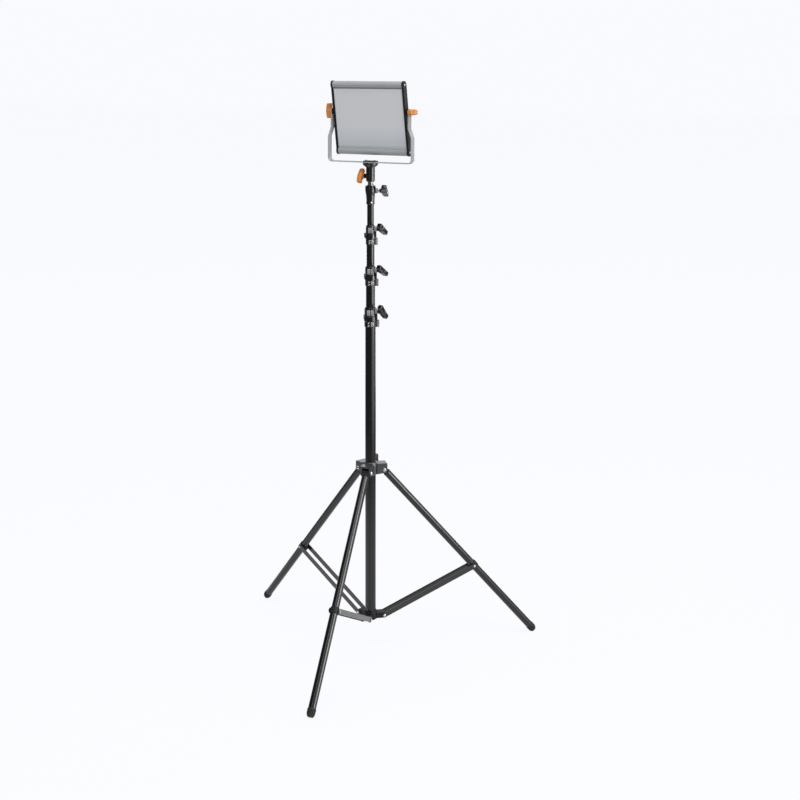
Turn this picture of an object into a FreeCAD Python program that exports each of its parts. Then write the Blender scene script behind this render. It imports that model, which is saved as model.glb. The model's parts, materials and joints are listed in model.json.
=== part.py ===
"""A bi-colour LED panel light on a U-bracket, standing on a four-section light stand.

Frame: the stand's column is the Z axis and the floor is z = 0. The light faces -Y and its tilt
axis lies along X. All sizes are in millimetres and angles in degrees. Each function below makes
one kind of sub-part, and the last section saves every sub-part as its own STEP file.
"""
import FreeCAD, Part
import math
import os
from FreeCAD import Vector

# ---------------------------------------------------------------- driving dimensions
# Stand tubes, outer radii and wall
COLUMN_R = 15.5
RISER_R = (13.5, 11.75, 10.0)
TUBE_WALL = 1.2
RUNNING = 0.05                 # radial running clearance of every sliding or turning fit
COLUMN_BOTTOM = 79.5
RISER_BOTTOM = (200.0, 280.0, 364.0)

# Section collars, bottom faces going up the stand, and their rings and flanges
COLLAR_Z = (934.5, 1055.0, 1175.6)
COLLAR_HEIGHT = 57.0
COLLAR_RING_R = (18.0, 16.0, 14.0)
COLLAR_FLANGE_R = (19.6, 18.2, 17.0)
SLEEVE_HEIGHT = 17.0           # lower sleeve of a collar
FLANGE_TOP = 32.0              # top of its flange above its bottom face
TUBE_TOP = 30.0                # the tube ends this far above the collar's bottom face
KNOB_UP = 47.0                 # height of the knob's axis above the collar's bottom face
KNOB_AZIMUTHS = (-5.0, -5.0, 0.0)    # where each collar's knob points, measured from +X
KNOB_ROLLS = (41.0, 58.0, 55.0)      # how far each knob's wings are rolled from upright
CLIP_AZIMUTH = 42.0            # the small lug on the sleeve, from the collar's knob

# Stand head, spigot and the light's socket
HEAD_Z = (1294.0, 1349.0)
RISER_TOP = 1320.0
HEAD_KNOB_Z = 1334.0
HEAD_KNOB_AZIMUTH = 17.0
HEAD_KNOB_ROLL = 54.0
SPIGOT_R = 8.0
SPIGOT_TOP = 1398.0
SOCKET_Z = (1360.4, 1404.5)
SOCKET_R = 13.2
SOCKET_FLANGE_R = 23.0
MOUNT_KNOB_Z = 1376.0

# Tripod: pivot circles, spread and lengths
LEG_AZIMUTHS = (40.0, 160.0, 280.0)
PIVOT_R = 39.0
LEG_PIVOT_Z = 515.0
SPIDER_PIVOT_Z = 88.9
FOOT_RADIUS = 500.0
FOOT_AXIS_Z = 5.5              # the leg's axis ends this high, inside the foot
LEG_R = 10.75
BRACE_ALONG_LEG = 407.6        # from the leg's pivot to the brace's rivet
CLAMP_R = 12.6                 # brace clamp on the leg
CLAMP_HALF = 9.0               # half its length
BAR_GAP = 12.7                 # half the gap between a brace's two bars
BAR_THICK = 2.0
BAR_R = 7.0                    # half the bar's width, and its end radius
PIN_R = 2.5                    # pins and rivets of the braces
LEG_TUBE_START = 16.0          # the leg's tube starts this far from its pivot
LEG_EYE_HALF = 10.9            # half the width of the leg's top eye
LUG_HALF = 16.0                # half the width of the leg collar's double lugs
FOOT_R = 11.3
FOOT_PLUG = 30.0               # length of the foot's plug inside the leg's tube
FOOT_TIP = 15.0                # rubber below the end of the leg's tube
LOCK_KNOB_AZIMUTH = 100.0      # the leg collar's lock
LOCK_KNOB_UP = 8.0             # its height above the legs' pivots

# U-bracket
BAR_WIDTH = 18.0
BAR_T = 3.0
U_BOTTOM_Z = 1417.3            # centre of the bottom bar
UPPER_ARM_X = 128.5
LOWER_ARM_X = 138.0
JOG_Z = (1491.0, 1518.0)
CORNER_R = 12.0
CLAMP_BOLT_X = 14.0

# Light panel, in its own upright frame, whose z = 0 is level with the tilt axis
TILT_Z = 1566.5
TILT = 10.0                    # the top leans forward by this much at rest
PIVOT_Y = 4.5                  # the tilt axis lies this far behind the panel's own origin
PANEL_HALF = 120.5             # to the outer faces of the end caps
CAP_T = 5.5
BARREL_R = 10.5
BARREL_Y = 2.5
BARREL_Z = (-120.0, 80.5)
LOBE_R = 11.5
BOSS_R = 9.6                   # tilt boss on each end cap
BOSS_LONG = 3.5
CAP_SCREW_R = 1.5
COVER_SCREW_R = 1.25

# Rear of the panel
COVER_HALF = 78.0
COVER_Z = (-96.0, 60.0)
COVER_Y = (11.0, 31.0)
COVER_WALL = 2.0
COVER_SCREW_IN = 7.0           # the cover's screws stand this far in from its corners
PLATE_X = 48.0                 # centres of the two battery plates
PLATE_HALF = 20.0
PLATE_Z = (-74.0, 6.0)
PLATE_TOP = COVER_Y[1] + 6.0
DIAL_Z = (-14.0, -40.0)
DIAL_R = 8.0
DIAL_SHAFT_R = 3.0
SWITCH_Z = -64.0
SWITCH_HALF = (6.4, 4.1)       # half the rocker's width and height
SWITCH_ROCK = 7.0              # the rocker stands this far to each side of level
SWITCH_AXLE_Y = COVER_Y[1] - 3.8
SWITCH_AXLE_R = 1.5
JACK_Z = -82.0
JACK_R = 5.0
WINDOW_HALF = 13.0
WINDOW_Z = (26.0, 44.0)

STUD_R = 3.0                   # M6 studs of all the knobs
SLIT = 1.0                     # cutting shapes pass this far beyond what they cut
BOX_SLACK = 0.2                # boxes round curved shapes are this exact

UP = Vector(0, 0, 1)
RIGHT = Vector(1, 0, 0)
BACK = Vector(0, 1, 0)
ORIGIN = Vector(0, 0, 0)
TILT_PIVOT = Vector(0, 0, TILT_Z)


# ---------------------------------------------------------------- basic shapes
def rod(radius, start, end):
    """A solid cylinder between two points."""
    axis = end - start
    return Part.makeCylinder(radius, axis.Length, start, axis)


def sleeve(outer, inner, start, end):
    """A tube between two points."""
    return rod(outer, start, end).cut(rod(inner, start, end))


def cone(radius_1, radius_2, start, end):
    axis = end - start
    return Part.makeCone(radius_1, radius_2, axis.Length, start, axis)


def slab(x, y, z):
    """A box from three (low, high) pairs."""
    corner = Vector(x[0], y[0], z[0])
    return Part.makeBox(x[1] - x[0], y[1] - y[0], z[1] - z[0], corner)


def turned(outline):
    """A closed (radius, z) outline turned about the Z axis."""
    points = [Vector(r, 0, z) for r, z in outline]
    wire = Part.makePolygon(points + points[:1])
    return Part.Face(wire).revolve(ORIGIN, UP, 360)


def plate_xz(outline, y_low, y_high):
    """A closed (x, z) outline made into a plate between two y values."""
    points = [Vector(x, y_low, z) for x, z in outline]
    face = Part.Face(Part.makePolygon(points + points[:1]))
    return face.extrude(Vector(0, y_high - y_low, 0))


def plate_yz(outline, x_low, x_high):
    """A closed (y, z) outline made into a plate between two x values."""
    points = [Vector(x_low, y, z) for y, z in outline]
    face = Part.Face(Part.makePolygon(points + points[:1]))
    return face.extrude(Vector(x_high - x_low, 0, 0))


def round_bar(start, end, radius, y_low, y_high):
    """A flat bar with round ends in the XZ plane, between two y values."""
    along = end - start
    side = Vector(-along.z, 0, along.x).normalize() * radius
    corners = [start + side, end + side, end - side, start - side]
    body = plate_xz([(p.x, p.z) for p in corners], y_low, y_high)
    for p in (start, end):
        body = body.fuse(rod(radius, Vector(p.x, y_low, p.z), Vector(p.x, y_high, p.z)))
    return body.removeSplitter()


def rounded_block(x, y, z, radius):
    """A box whose edges along Y are rounded."""
    block = slab(x, y, z)
    edges = [e for e in block.Edges if abs(e.tangentAt(e.FirstParameter).y) > 0.99]
    return block.makeFillet(radius, edges)


def joined(shapes):
    """The shapes fused one after another. It stops the build if the result has lost one of them."""
    body = shapes[0]
    for shape in shapes[1:]:
        body = body.fuse(shape)
    body = body.removeSplitter()
    reach = body.BoundBox
    reach.enlarge(BOX_SLACK)
    for shape in shapes:
        if not reach.isInside(shape.BoundBox):
            raise RuntimeError("a fused shape has lost one of its pieces")
    return body


def swung(shape, azimuth):
    """Turned about the stand's column from +X to an azimuth."""
    return shape.rotated(ORIGIN, UP, azimuth)


# ---------------------------------------------------------------- knobs
def t_knob(tip, shoulder, z, turn):
    """A swept-wing T-knob with a moulded-in stud, along +X. tip is the radius of the stud's end,
    shoulder that of the hub's near face, and turn rolls the wings about the knob's axis."""
    hub_long, hub_r, sweep, reach, wing_r, half_thick = 12.0, 6.7, 18.0, 19.5, 6.2, 6.6
    stud = rod(STUD_R, Vector(tip, 0, z), Vector(shoulder + hub_long, 0, z))
    hub = cone(hub_r, hub_r + 1, Vector(shoulder, 0, z), Vector(shoulder + hub_long, 0, z))
    root = Vector(shoulder + hub_long / 2, 0, z)
    wings = [
        round_bar(root, Vector(shoulder + sweep, 0, z + side * reach), wing_r, -half_thick, half_thick)
        for side in (-1, 1)
    ]
    knob = joined([stud, hub] + wings)
    return knob.rotated(Vector(0, 0, z), RIGHT, turn)


def wing_knob(stud_start, face, z, turn):
    """An orange butterfly knob along +X. face is the x of its inner face. The wings are shallower
    at their tips than at the hub."""
    length, flange_r, hub_r, reach, half_thick = 17.0, 8.5, 7.9, 22.5, 7.6
    tip_length, chamfer = 13.5, 2.0
    stud = rod(STUD_R, Vector(stud_start, 0, z), Vector(face + length / 2, 0, z))
    flange = rod(flange_r, Vector(face, 0, z), Vector(face + 3, 0, z))
    hub = rod(hub_r, Vector(face, 0, z), Vector(face + length - 2, 0, z))
    outline = [
        (1, 0), (1, reach - chamfer), (1 + chamfer, reach), (tip_length - chamfer, reach),
        (tip_length, reach - chamfer), (length, hub_r), (length, 0),
    ]
    lobes = [
        plate_xz([(face + x, z + side * up) for x, up in outline], -half_thick, half_thick)
        for side in (-1, 1)
    ]
    knob = joined([stud, flange, hub] + lobes)
    return knob.rotated(Vector(0, 0, z), RIGHT, turn)


# ---------------------------------------------------------------- stand column and risers
def tube_above(radius, bottom, top):
    return sleeve(radius, radius - TUBE_WALL, Vector(0, 0, bottom), Vector(0, 0, top))


def column_bore():
    return COLUMN_R - TUBE_WALL


def riser_bushing(index):
    """The guide ring pressed on a riser's lower end, running in the tube below it."""
    outer_tube = COLUMN_R if index == 0 else RISER_R[index - 1]
    bottom = RISER_BOTTOM[index]
    outer = outer_tube - TUBE_WALL - RUNNING
    ring = sleeve(outer, RISER_R[index], Vector(0, 0, bottom), Vector(0, 0, bottom + 24))
    lip = sleeve(outer, RISER_R[index] - TUBE_WALL, Vector(0, 0, bottom - 3), Vector(0, 0, bottom))
    return joined([ring, lip])


def section_collar(index):
    """A locking collar: a sleeve on the lower tube, a flange, and a ring round the riser."""
    base = COLLAR_Z[index]
    top = base + COLLAR_HEIGHT
    ring = COLLAR_RING_R[index]
    flange = COLLAR_FLANGE_R[index]
    tube = COLUMN_R if index == 0 else RISER_R[index - 1]
    bore = RISER_R[index] + RUNNING
    body = turned([
        (tube, base), (ring - 0.6, base), (ring, base + 1.5), (ring, base + SLEEVE_HEIGHT),
        (flange, base + SLEEVE_HEIGHT + 1.5), (flange, base + FLANGE_TOP - 1.5),
        (ring, base + FLANGE_TOP), (ring, top - 6), (ring - 1.5, top - 1), (ring - 2.2, top),
        (bore, top), (bore, base + TUBE_TOP), (tube, base + TUBE_TOP),
    ])
    knob_z = base + KNOB_UP
    boss = cone(8.0, 6.5, Vector(bore + 1.2, 0, knob_z), Vector(ring + 5.5, 0, knob_z))
    foot = slab((bore + 1.2, ring + 3), (-5, 5), (base + SLEEVE_HEIGHT + 4, knob_z))
    ear_z = (base + SLEEVE_HEIGHT + 3.5, base + FLANGE_TOP + 2)
    ear = rounded_block((-flange - 1.2, -tube - 1), (-6, 6), ear_z, 1.5)
    stud_hole = rod(STUD_R + RUNNING, Vector(bore - 2, 0, knob_z), Vector(ring + 8, 0, knob_z))
    tube_space = rod(tube, Vector(0, 0, base - 1), Vector(0, 0, base + TUBE_TOP))
    clip = slab((ring - 3, ring + 7), (-4.5, 4.5), (base - 1, base + SLEEVE_HEIGHT + 2))
    clip = clip.rotated(ORIGIN, UP, CLIP_AZIMUTH)
    collar = joined([body, boss, foot, ear, clip]).cut(stud_hole).cut(tube_space)
    return swung(collar, KNOB_AZIMUTHS[index])


def section_knob(index):
    base = COLLAR_Z[index]
    tip = RISER_R[index] + 0.3
    shoulder = COLLAR_RING_R[index] + 9.0
    return swung(t_knob(tip, shoulder, base + KNOB_UP, KNOB_ROLLS[index]), KNOB_AZIMUTHS[index])


def stand_head():
    """The casting on the top riser: a sleeve below and a spigot socket above."""
    low, high = HEAD_Z
    body = turned([
        (RISER_R[2], low), (12.0, low), (12.6, low + 1), (12.3, low + 12), (13.2, low + 27),
        (15.0, low + 36), (15.7, low + 42), (15.7, high - 3), (14.4, high), (SPIGOT_R, high),
        (SPIGOT_R, RISER_TOP), (RISER_R[2], RISER_TOP),
    ])
    boss = cone(8.0, 6.8, Vector(SPIGOT_R + 2, 0, HEAD_KNOB_Z), Vector(21.0, 0, HEAD_KNOB_Z))
    hole = rod(STUD_R + RUNNING, Vector(SPIGOT_R - 2, 0, HEAD_KNOB_Z), Vector(24, 0, HEAD_KNOB_Z))
    return swung(joined([body, boss]).cut(hole), HEAD_KNOB_AZIMUTH)


def head_knob():
    return swung(t_knob(SPIGOT_R + 0.2, 27.0, HEAD_KNOB_Z, HEAD_KNOB_ROLL), HEAD_KNOB_AZIMUTH)


def spigot():
    """The 16 mm stud on the stand's head, with a waist for the light's lock screw."""
    waist, half = SPIGOT_R - 1.5, 6.0
    collar_r, collar_low, collar_high = 10.0, HEAD_Z[1], HEAD_Z[1] + 2.5
    return turned([
        (0, RISER_TOP), (SPIGOT_R, RISER_TOP), (SPIGOT_R, collar_low), (collar_r, collar_low),
        (collar_r, collar_high), (SPIGOT_R, collar_high), (SPIGOT_R, MOUNT_KNOB_Z - half - 1.5),
        (waist, MOUNT_KNOB_Z - half), (waist, MOUNT_KNOB_Z + half),
        (SPIGOT_R, MOUNT_KNOB_Z + half + 1.5), (SPIGOT_R, SPIGOT_TOP - 1.5),
        (SPIGOT_R - 1.5, SPIGOT_TOP), (0, SPIGOT_TOP),
    ])


# ---------------------------------------------------------------- tripod, made at azimuth 0
def leg_angle():
    """The leg's angle from straight down."""
    return math.degrees(math.atan2(FOOT_RADIUS - PIVOT_R, LEG_PIVOT_Z - FOOT_AXIS_Z))


def leg_length():
    return math.hypot(FOOT_RADIUS - PIVOT_R, LEG_PIVOT_Z - FOOT_AXIS_Z)


def brace_point():
    """Where the brace meets the leg's axis."""
    angle = math.radians(leg_angle())
    x = PIVOT_R + BRACE_ALONG_LEG * math.sin(angle)
    return Vector(x, 0, LEG_PIVOT_Z - BRACE_ALONG_LEG * math.cos(angle))


def on_leg(shape):
    """From a leg hanging straight down from the origin to its place on the open tripod."""
    placed = shape.rotated(ORIGIN, BACK, -leg_angle())
    return placed.translated(Vector(PIVOT_R, 0, LEG_PIVOT_Z))


def leg_tube():
    end = leg_length() - FOOT_TIP
    return on_leg(sleeve(LEG_R, LEG_R - TUBE_WALL, Vector(0, 0, -LEG_TUBE_START), Vector(0, 0, -end)))


def leg_fittings():
    """The moulded top eye of a leg and, further down, the clamp its brace straddles."""
    plug_r = LEG_R - TUBE_WALL
    eye = rod(9.0, Vector(0, -LEG_EYE_HALF, 0), Vector(0, LEG_EYE_HALF, 0))
    neck = slab((-8, 8), (-LEG_EYE_HALF, LEG_EYE_HALF), (-LEG_TUBE_START + 2, 0))
    rim = rod(LEG_R, Vector(0, 0, -LEG_TUBE_START), Vector(0, 0, -LEG_TUBE_START + 3))
    plug = rod(plug_r, Vector(0, 0, -LEG_TUBE_START - 24), Vector(0, 0, -LEG_TUBE_START))
    bore = rod(STUD_R + RUNNING, Vector(0, -20, 0), Vector(0, 20, 0))
    top = joined([eye, neck, rim, plug]).cut(bore)
    middle = BRACE_ALONG_LEG
    low, high = -middle - CLAMP_HALF, -middle + CLAMP_HALF
    ring = turned([
        (LEG_R, low), (CLAMP_R - 1, low), (CLAMP_R, low + 1.5),
        (CLAMP_R, high - 1.5), (CLAMP_R - 1, high), (LEG_R, high),
    ])
    lug = rounded_block((-CLAMP_R - 3.5, -LEG_R), (-5, 5), (low + 1.5, high - 1.5), 2)
    lug = lug.cut(rod(LEG_R + 0.5, Vector(0, 0, -middle - 20), Vector(0, 0, -middle + 20)))
    return [on_leg(top), on_leg(joined([ring, lug]))]


def foot():
    """A rubber foot plugged into the leg's tube, with a rounded tip ground flat on the floor."""
    tube_end, end = -leg_length() + FOOT_TIP, -leg_length()
    plug_r = LEG_R - TUBE_WALL
    body = turned([
        (0, tube_end + FOOT_PLUG), (plug_r - 1.5, tube_end + FOOT_PLUG), (plug_r, tube_end + FOOT_PLUG - 3),
        (plug_r, tube_end), (FOOT_R, tube_end), (FOOT_R, end + 6), (FOOT_R - 0.8, end + 3),
        (FOOT_R - 3.2, end - 1), (0, end - 1),
    ])
    floor = slab((FOOT_RADIUS - 60, FOOT_RADIUS + 60), (-40, 40), (-40, 0))
    return on_leg(body).cut(floor)


def leg_collar():
    """The sliding collar: a barrel on the column, three double lugs and a lock boss."""
    low, high = LEG_PIVOT_Z - 12.5, LEG_PIVOT_Z + 19.5
    bore = COLUMN_R + RUNNING
    barrel = turned([
        (bore, low), (20, low), (21, low + 1.5), (21, high - 6), (19.5, high + 3), (18.5, high + 4),
        (bore, high + 4),
    ])
    hole = rod(STUD_R + RUNNING, Vector(PIVOT_R, -20, LEG_PIVOT_Z), Vector(PIVOT_R, 20, LEG_PIVOT_Z))
    hood = PIVOT_R + 8.5
    outline = [
        (17, low + 1), (PIVOT_R - 2, LEG_PIVOT_Z - 9), (PIVOT_R + 8, LEG_PIVOT_Z - 3), (hood, high - 5),
        (hood - 1, high), (17, high),
    ]
    ear_in, ear_out = LEG_EYE_HALF + 0.2, LUG_HALF
    lugs = []
    for y_low, y_high in ((-ear_out, -ear_in), (ear_in, ear_out)):
        eye = rod(9.0, Vector(PIVOT_R, y_low, LEG_PIVOT_Z), Vector(PIVOT_R, y_high, LEG_PIVOT_Z))
        lugs.append(plate_xz(outline, y_low, y_high).fuse(eye).cut(hole))
    lugs.append(slab((17, hood - 1), (-ear_out, ear_out), (high - 5, high)))
    parts = [barrel]
    for azimuth in LEG_AZIMUTHS:
        parts += [swung(s, azimuth) for s in lugs]
    lock_z = LEG_PIVOT_Z + LOCK_KNOB_UP
    boss = cone(8, 7, Vector(18, 0, lock_z), Vector(30, 0, lock_z))
    parts.append(swung(boss, LOCK_KNOB_AZIMUTH))
    body = joined(parts)
    body = body.cut(rod(bore, Vector(0, 0, low - 5), Vector(0, 0, high + 10)))
    stud_hole = rod(STUD_R + RUNNING, Vector(bore - 2, 0, lock_z), Vector(34, 0, lock_z))
    return body.cut(swung(stud_hole, LOCK_KNOB_AZIMUTH))


def leg_collar_knob():
    return swung(t_knob(COLUMN_R + 0.3, 33.0, LEG_PIVOT_Z + LOCK_KNOB_UP, 0), LOCK_KNOB_AZIMUTH)


def headed_pin(x, z, half, radius):
    """A rivet along Y with a low head on each end."""
    head_r, head_t = radius + 2.2, 1.4
    shank = rod(radius, Vector(x, -half, z), Vector(x, half, z))
    heads = [
        cone(head_r, head_r - 1, Vector(x, side * half, z), Vector(x, side * (half + head_t), z))
        for side in (-1, 1)
    ]
    return joined([shank] + heads)


def lower_spider():
    """The fixed ring at the column's foot, with a tongue for each brace."""
    low, high = COLUMN_BOTTOM, SPIDER_PIVOT_Z + 13
    ring = turned([
        (COLUMN_R, low), (19, low), (20, low + 1.5), (20, high - 4), (18.5, high), (COLUMN_R, high),
    ])
    half = CLAMP_R
    hole = rod(PIN_R + RUNNING, Vector(PIVOT_R, -20, SPIDER_PIVOT_Z), Vector(PIVOT_R, 20, SPIDER_PIVOT_Z))
    tongue = joined([
        slab((16.5, PIVOT_R), (-half, half), (SPIDER_PIVOT_Z - 8, SPIDER_PIVOT_Z + 8)),
        rod(8, Vector(PIVOT_R, -half, SPIDER_PIVOT_Z), Vector(PIVOT_R, half, SPIDER_PIVOT_Z)),
    ])
    relief = slab((24, 60), (-half + 4, half - 4), (SPIDER_PIVOT_Z - 20, SPIDER_PIVOT_Z - 3.5))
    tongue = tongue.cut(hole).cut(relief)
    body = joined([ring] + [swung(tongue, azimuth) for azimuth in LEG_AZIMUTHS])
    return body.cut(rod(COLUMN_R, Vector(0, 0, low - 5), Vector(0, 0, high + 5)))


def column_end_cap():
    bore = column_bore()
    return joined([
        rod(bore, Vector(0, 0, COLUMN_BOTTOM), Vector(0, 0, COLUMN_BOTTOM + 16)),
        cone(COLUMN_R - 1, COLUMN_R, Vector(0, 0, COLUMN_BOTTOM - 3), Vector(0, 0, COLUMN_BOTTOM)),
    ])


def brace():
    """A pair of flat bars, the pin they turn on at the spider, and their rivets at the leg."""
    near = Vector(PIVOT_R, 0, SPIDER_PIVOT_Z)
    far = brace_point()
    outer = BAR_GAP + BAR_THICK
    pieces = [headed_pin(near.x, near.z, outer, PIN_R)]
    for side in (-1, 1):
        low, high = sorted((side * BAR_GAP, side * outer))
        bar = round_bar(near, far, BAR_R, low, high)
        for p in (near, far):
            bar = bar.cut(rod(PIN_R, Vector(p.x, -20, p.z), Vector(p.x, 20, p.z)))
        inner_face = Vector(far.x, side * BAR_GAP, far.z)
        outer_face = Vector(far.x, side * outer, far.z)
        shank = rod(PIN_R, inner_face, outer_face)
        head = cone(PIN_R + 2.2, PIN_R + 1.2, outer_face, outer_face + Vector(0, side * 1.4, 0))
        pieces += [bar, joined([shank, head])]
    return pieces


# ---------------------------------------------------------------- light's mount and bracket
def mount_socket():
    """The light's socket for the spigot, with a flange under the U-bracket."""
    low, high = SOCKET_Z
    seat = U_BOTTOM_Z - BAR_T / 2
    bore = SPIGOT_R + RUNNING
    body = turned([
        (bore, low), (11.5, low), (12.6, low + 2), (SOCKET_R, low + 8), (SOCKET_R, high - 2),
        (SOCKET_FLANGE_R - 1, high + 5), (SOCKET_FLANGE_R, high + 6.5),
        (SOCKET_FLANGE_R, seat - 1), (SOCKET_FLANGE_R - 1, seat), (0, seat), (0, SPIGOT_TOP + 1),
        (bore, SPIGOT_TOP + 1),
    ])
    boss = cone(7.2, 8.0, Vector(-19.5, 0, MOUNT_KNOB_Z), Vector(-bore - 1.2, 0, MOUNT_KNOB_Z))
    hole = rod(STUD_R + RUNNING, Vector(-24, 0, MOUNT_KNOB_Z), Vector(-bore + 2, 0, MOUNT_KNOB_Z))
    body = joined([body, boss]).cut(hole)
    for x in (-CLAMP_BOLT_X, CLAMP_BOLT_X):
        body = body.cut(rod(2.0, Vector(x, 0, seat - 9), Vector(x, 0, seat)))
    return body


def mount_knob():
    knob = wing_knob(SPIGOT_R - 1.2, 23.5, MOUNT_KNOB_Z, 33.0)
    return knob.rotated(Vector(0, 0, MOUNT_KNOB_Z), UP, 180)


def offset_line(points, distance):
    """The corner points of a polyline moved sideways by a distance, mitred at each corner."""
    moved = []
    for i, p in enumerate(points):
        before = points[max(i - 1, 0)]
        after = points[min(i + 1, len(points) - 1)]
        into = (p - before) if i > 0 else (after - p)
        out = (after - p) if i < len(points) - 1 else into
        n_in = Vector(-into.z, 0, into.x).normalize()
        n_out = Vector(-out.z, 0, out.x).normalize()
        mitre = (n_in + n_out).normalize()
        moved.append(p + mitre * (distance / mitre.dot(n_in)))
    return moved


def u_bracket():
    """A flat bar bent to a U whose arms step in towards the panel, with a hole at each end."""
    right = [
        Vector(LOWER_ARM_X, 0, U_BOTTOM_Z), Vector(LOWER_ARM_X, 0, JOG_Z[0]),
        Vector(UPPER_ARM_X, 0, JOG_Z[1]), Vector(UPPER_ARM_X, 0, TILT_Z + BAR_WIDTH / 2),
    ]
    left = [Vector(-p.x, 0, p.z) for p in reversed(right)]
    path = left + right
    outline = offset_line(path, BAR_T / 2) + offset_line(path, -BAR_T / 2)[::-1]
    bar = plate_xz([(p.x, p.z) for p in outline], -BAR_WIDTH / 2, BAR_WIDTH / 2)
    inner_corner, outer_corner = CORNER_R - BAR_T / 2, CORNER_R + BAR_T / 2
    for radius, z in ((outer_corner, U_BOTTOM_Z - BAR_T / 2), (inner_corner, U_BOTTOM_Z + BAR_T / 2)):
        x = LOWER_ARM_X + (U_BOTTOM_Z - z)
        edges = [
            e for e in bar.Edges
            if abs(abs(e.CenterOfMass.x) - x) < 0.01 and abs(e.CenterOfMass.z - z) < 0.01
        ]
        bar = bar.makeFillet(radius, edges)
    for side in (-1, 1):
        x_low, x_high = sorted((side * (UPPER_ARM_X - 4), side * (UPPER_ARM_X + 4)))
        end = slab((x_low, x_high), (-20, 20), (TILT_Z, TILT_Z + 30))
        end = end.cut(rod(BAR_WIDTH / 2, Vector(x_low, 0, TILT_Z), Vector(x_high, 0, TILT_Z)))
        hole = rod(STUD_R + RUNNING, Vector(x_low, 0, TILT_Z), Vector(x_high, 0, TILT_Z))
        bar = bar.cut(end).cut(hole)
    for x in (-CLAMP_BOLT_X, CLAMP_BOLT_X):
        bar = bar.cut(rod(2.0, Vector(x, 0, U_BOTTOM_Z - 5), Vector(x, 0, U_BOTTOM_Z + 5)))
    return bar


def bracket_plate():
    """The clamp plate that the two bolts press on the U-bracket's bottom bar."""
    low = U_BOTTOM_Z + BAR_T / 2
    plate = rounded_block((-20.5, 20.5), (-BAR_WIDTH / 2, BAR_WIDTH / 2), (low, low + 3), 1.0)
    for x in (-CLAMP_BOLT_X, CLAMP_BOLT_X):
        plate = plate.cut(rod(2.0, Vector(x, 0, low - 1), Vector(x, 0, low + 5)))
    return plate


def bracket_bolts():
    """Two M4 button-head bolts through the plate and the bar into the socket's flange."""
    top = U_BOTTOM_Z + BAR_T / 2 + 3
    bottom = U_BOTTOM_Z - BAR_T / 2 - 8
    bolts = []
    for x in (-CLAMP_BOLT_X, CLAMP_BOLT_X):
        shank = rod(2.0, Vector(x, 0, bottom), Vector(x, 0, top))
        head = cone(3.8, 2.6, Vector(x, 0, top), Vector(x, 0, top + 2.2))
        hexagon = rod(1.2, Vector(x, 0, top + 0.9), Vector(x, 0, top + 3))
        bolts.append(joined([shank, head]).cut(hexagon))
    return bolts


# ---------------------------------------------------------------- light panel, made upright
def tilted(shape):
    """From the panel's upright frame to its place in the bracket at rest."""
    return shape.translated(-PIVOT_Y * BACK).rotated(ORIGIN, RIGHT, TILT).translated(TILT_PIVOT)


def panel_housing():
    """The extrusion: a hollow barrel along the top and bottom joined by a finned back web."""
    half = PANEL_HALF - CAP_T
    pieces = []
    for z in BARREL_Z:
        pieces.append(rod(BARREL_R, Vector(-half, BARREL_Y, z), Vector(half, BARREL_Y, z)))
    web_y = (8.0, COVER_Y[0])
    web_z = (BARREL_Z[0] + 4, BARREL_Z[1] - 4)
    pieces.append(slab((-half, half), web_y, web_z))
    fin_z = COVER_Z[1] + 6
    while fin_z < BARREL_Z[1] - BARREL_R - 2:
        pieces.append(slab((-half, half), (web_y[1] - 0.5, web_y[1] + 3), (fin_z, fin_z + 1.6)))
        fin_z += 5.0
    body = joined(pieces)
    for z in BARREL_Z:
        bore = rod(BARREL_R - 1.8, Vector(-half, BARREL_Y, z), Vector(half, BARREL_Y, z))
        body = body.cut(bore)
    return tilted(body)


def end_cap(side):
    """A side plate with a round lobe over each barrel and the tilt boss."""
    x_low, x_high = sorted((side * (PANEL_HALF - CAP_T), side * PANEL_HALF))
    outer = side * PANEL_HALF
    web = slab((x_low, x_high), (-6.5, 14.5), BARREL_Z)
    pieces = [web]
    for z in BARREL_Z:
        pieces.append(rod(LOBE_R, Vector(x_low, BARREL_Y, z), Vector(x_high, BARREL_Y, z)))
    boss_end = Vector(outer + side * BOSS_LONG, PIVOT_Y, 0)
    pieces.append(rod(BOSS_R, Vector(outer, PIVOT_Y, 0), boss_end))
    cap = joined(pieces)
    stud = rod(STUD_R + RUNNING, Vector(outer - side * 20, PIVOT_Y, 0), boss_end + RIGHT * side * SLIT)
    cap = cap.cut(stud)
    for z in BARREL_Z:
        start = Vector(outer - side * CAP_T, BARREL_Y, z)
        cap = cap.cut(rod(CAP_SCREW_R, start, Vector(outer, BARREL_Y, z)))
    return tilted(cap)


def cover_screw_places(side):
    """The (x, z) places of the rear cover's screws on one side."""
    x = side * (COVER_HALF - COVER_SCREW_IN)
    return [(x, COVER_Z[0] + COVER_SCREW_IN), (x, COVER_Z[1] - COVER_SCREW_IN)]


def panel_screws():
    """The cap screws at the barrels' ends and the four rear cover screws."""
    screws = []
    for side in (-1, 1):
        outer = side * PANEL_HALF
        for z in BARREL_Z:
            shank = rod(CAP_SCREW_R, Vector(outer - side * CAP_T, BARREL_Y, z), Vector(outer, BARREL_Y, z))
            head = cone(3.2, 2.2, Vector(outer, BARREL_Y, z), Vector(outer + side * 1.6, BARREL_Y, z))
            screws.append(tilted(joined([shank, head])))
        for x, z in cover_screw_places(side):
            shank = rod(COVER_SCREW_R, Vector(x, COVER_Y[1] - 1.6, z), Vector(x, COVER_Y[1], z))
            head = cone(2.8, 2.0, Vector(x, COVER_Y[1], z), Vector(x, COVER_Y[1] + 1.2, z))
            screws.append(tilted(joined([shank, head])))
    return screws


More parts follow.
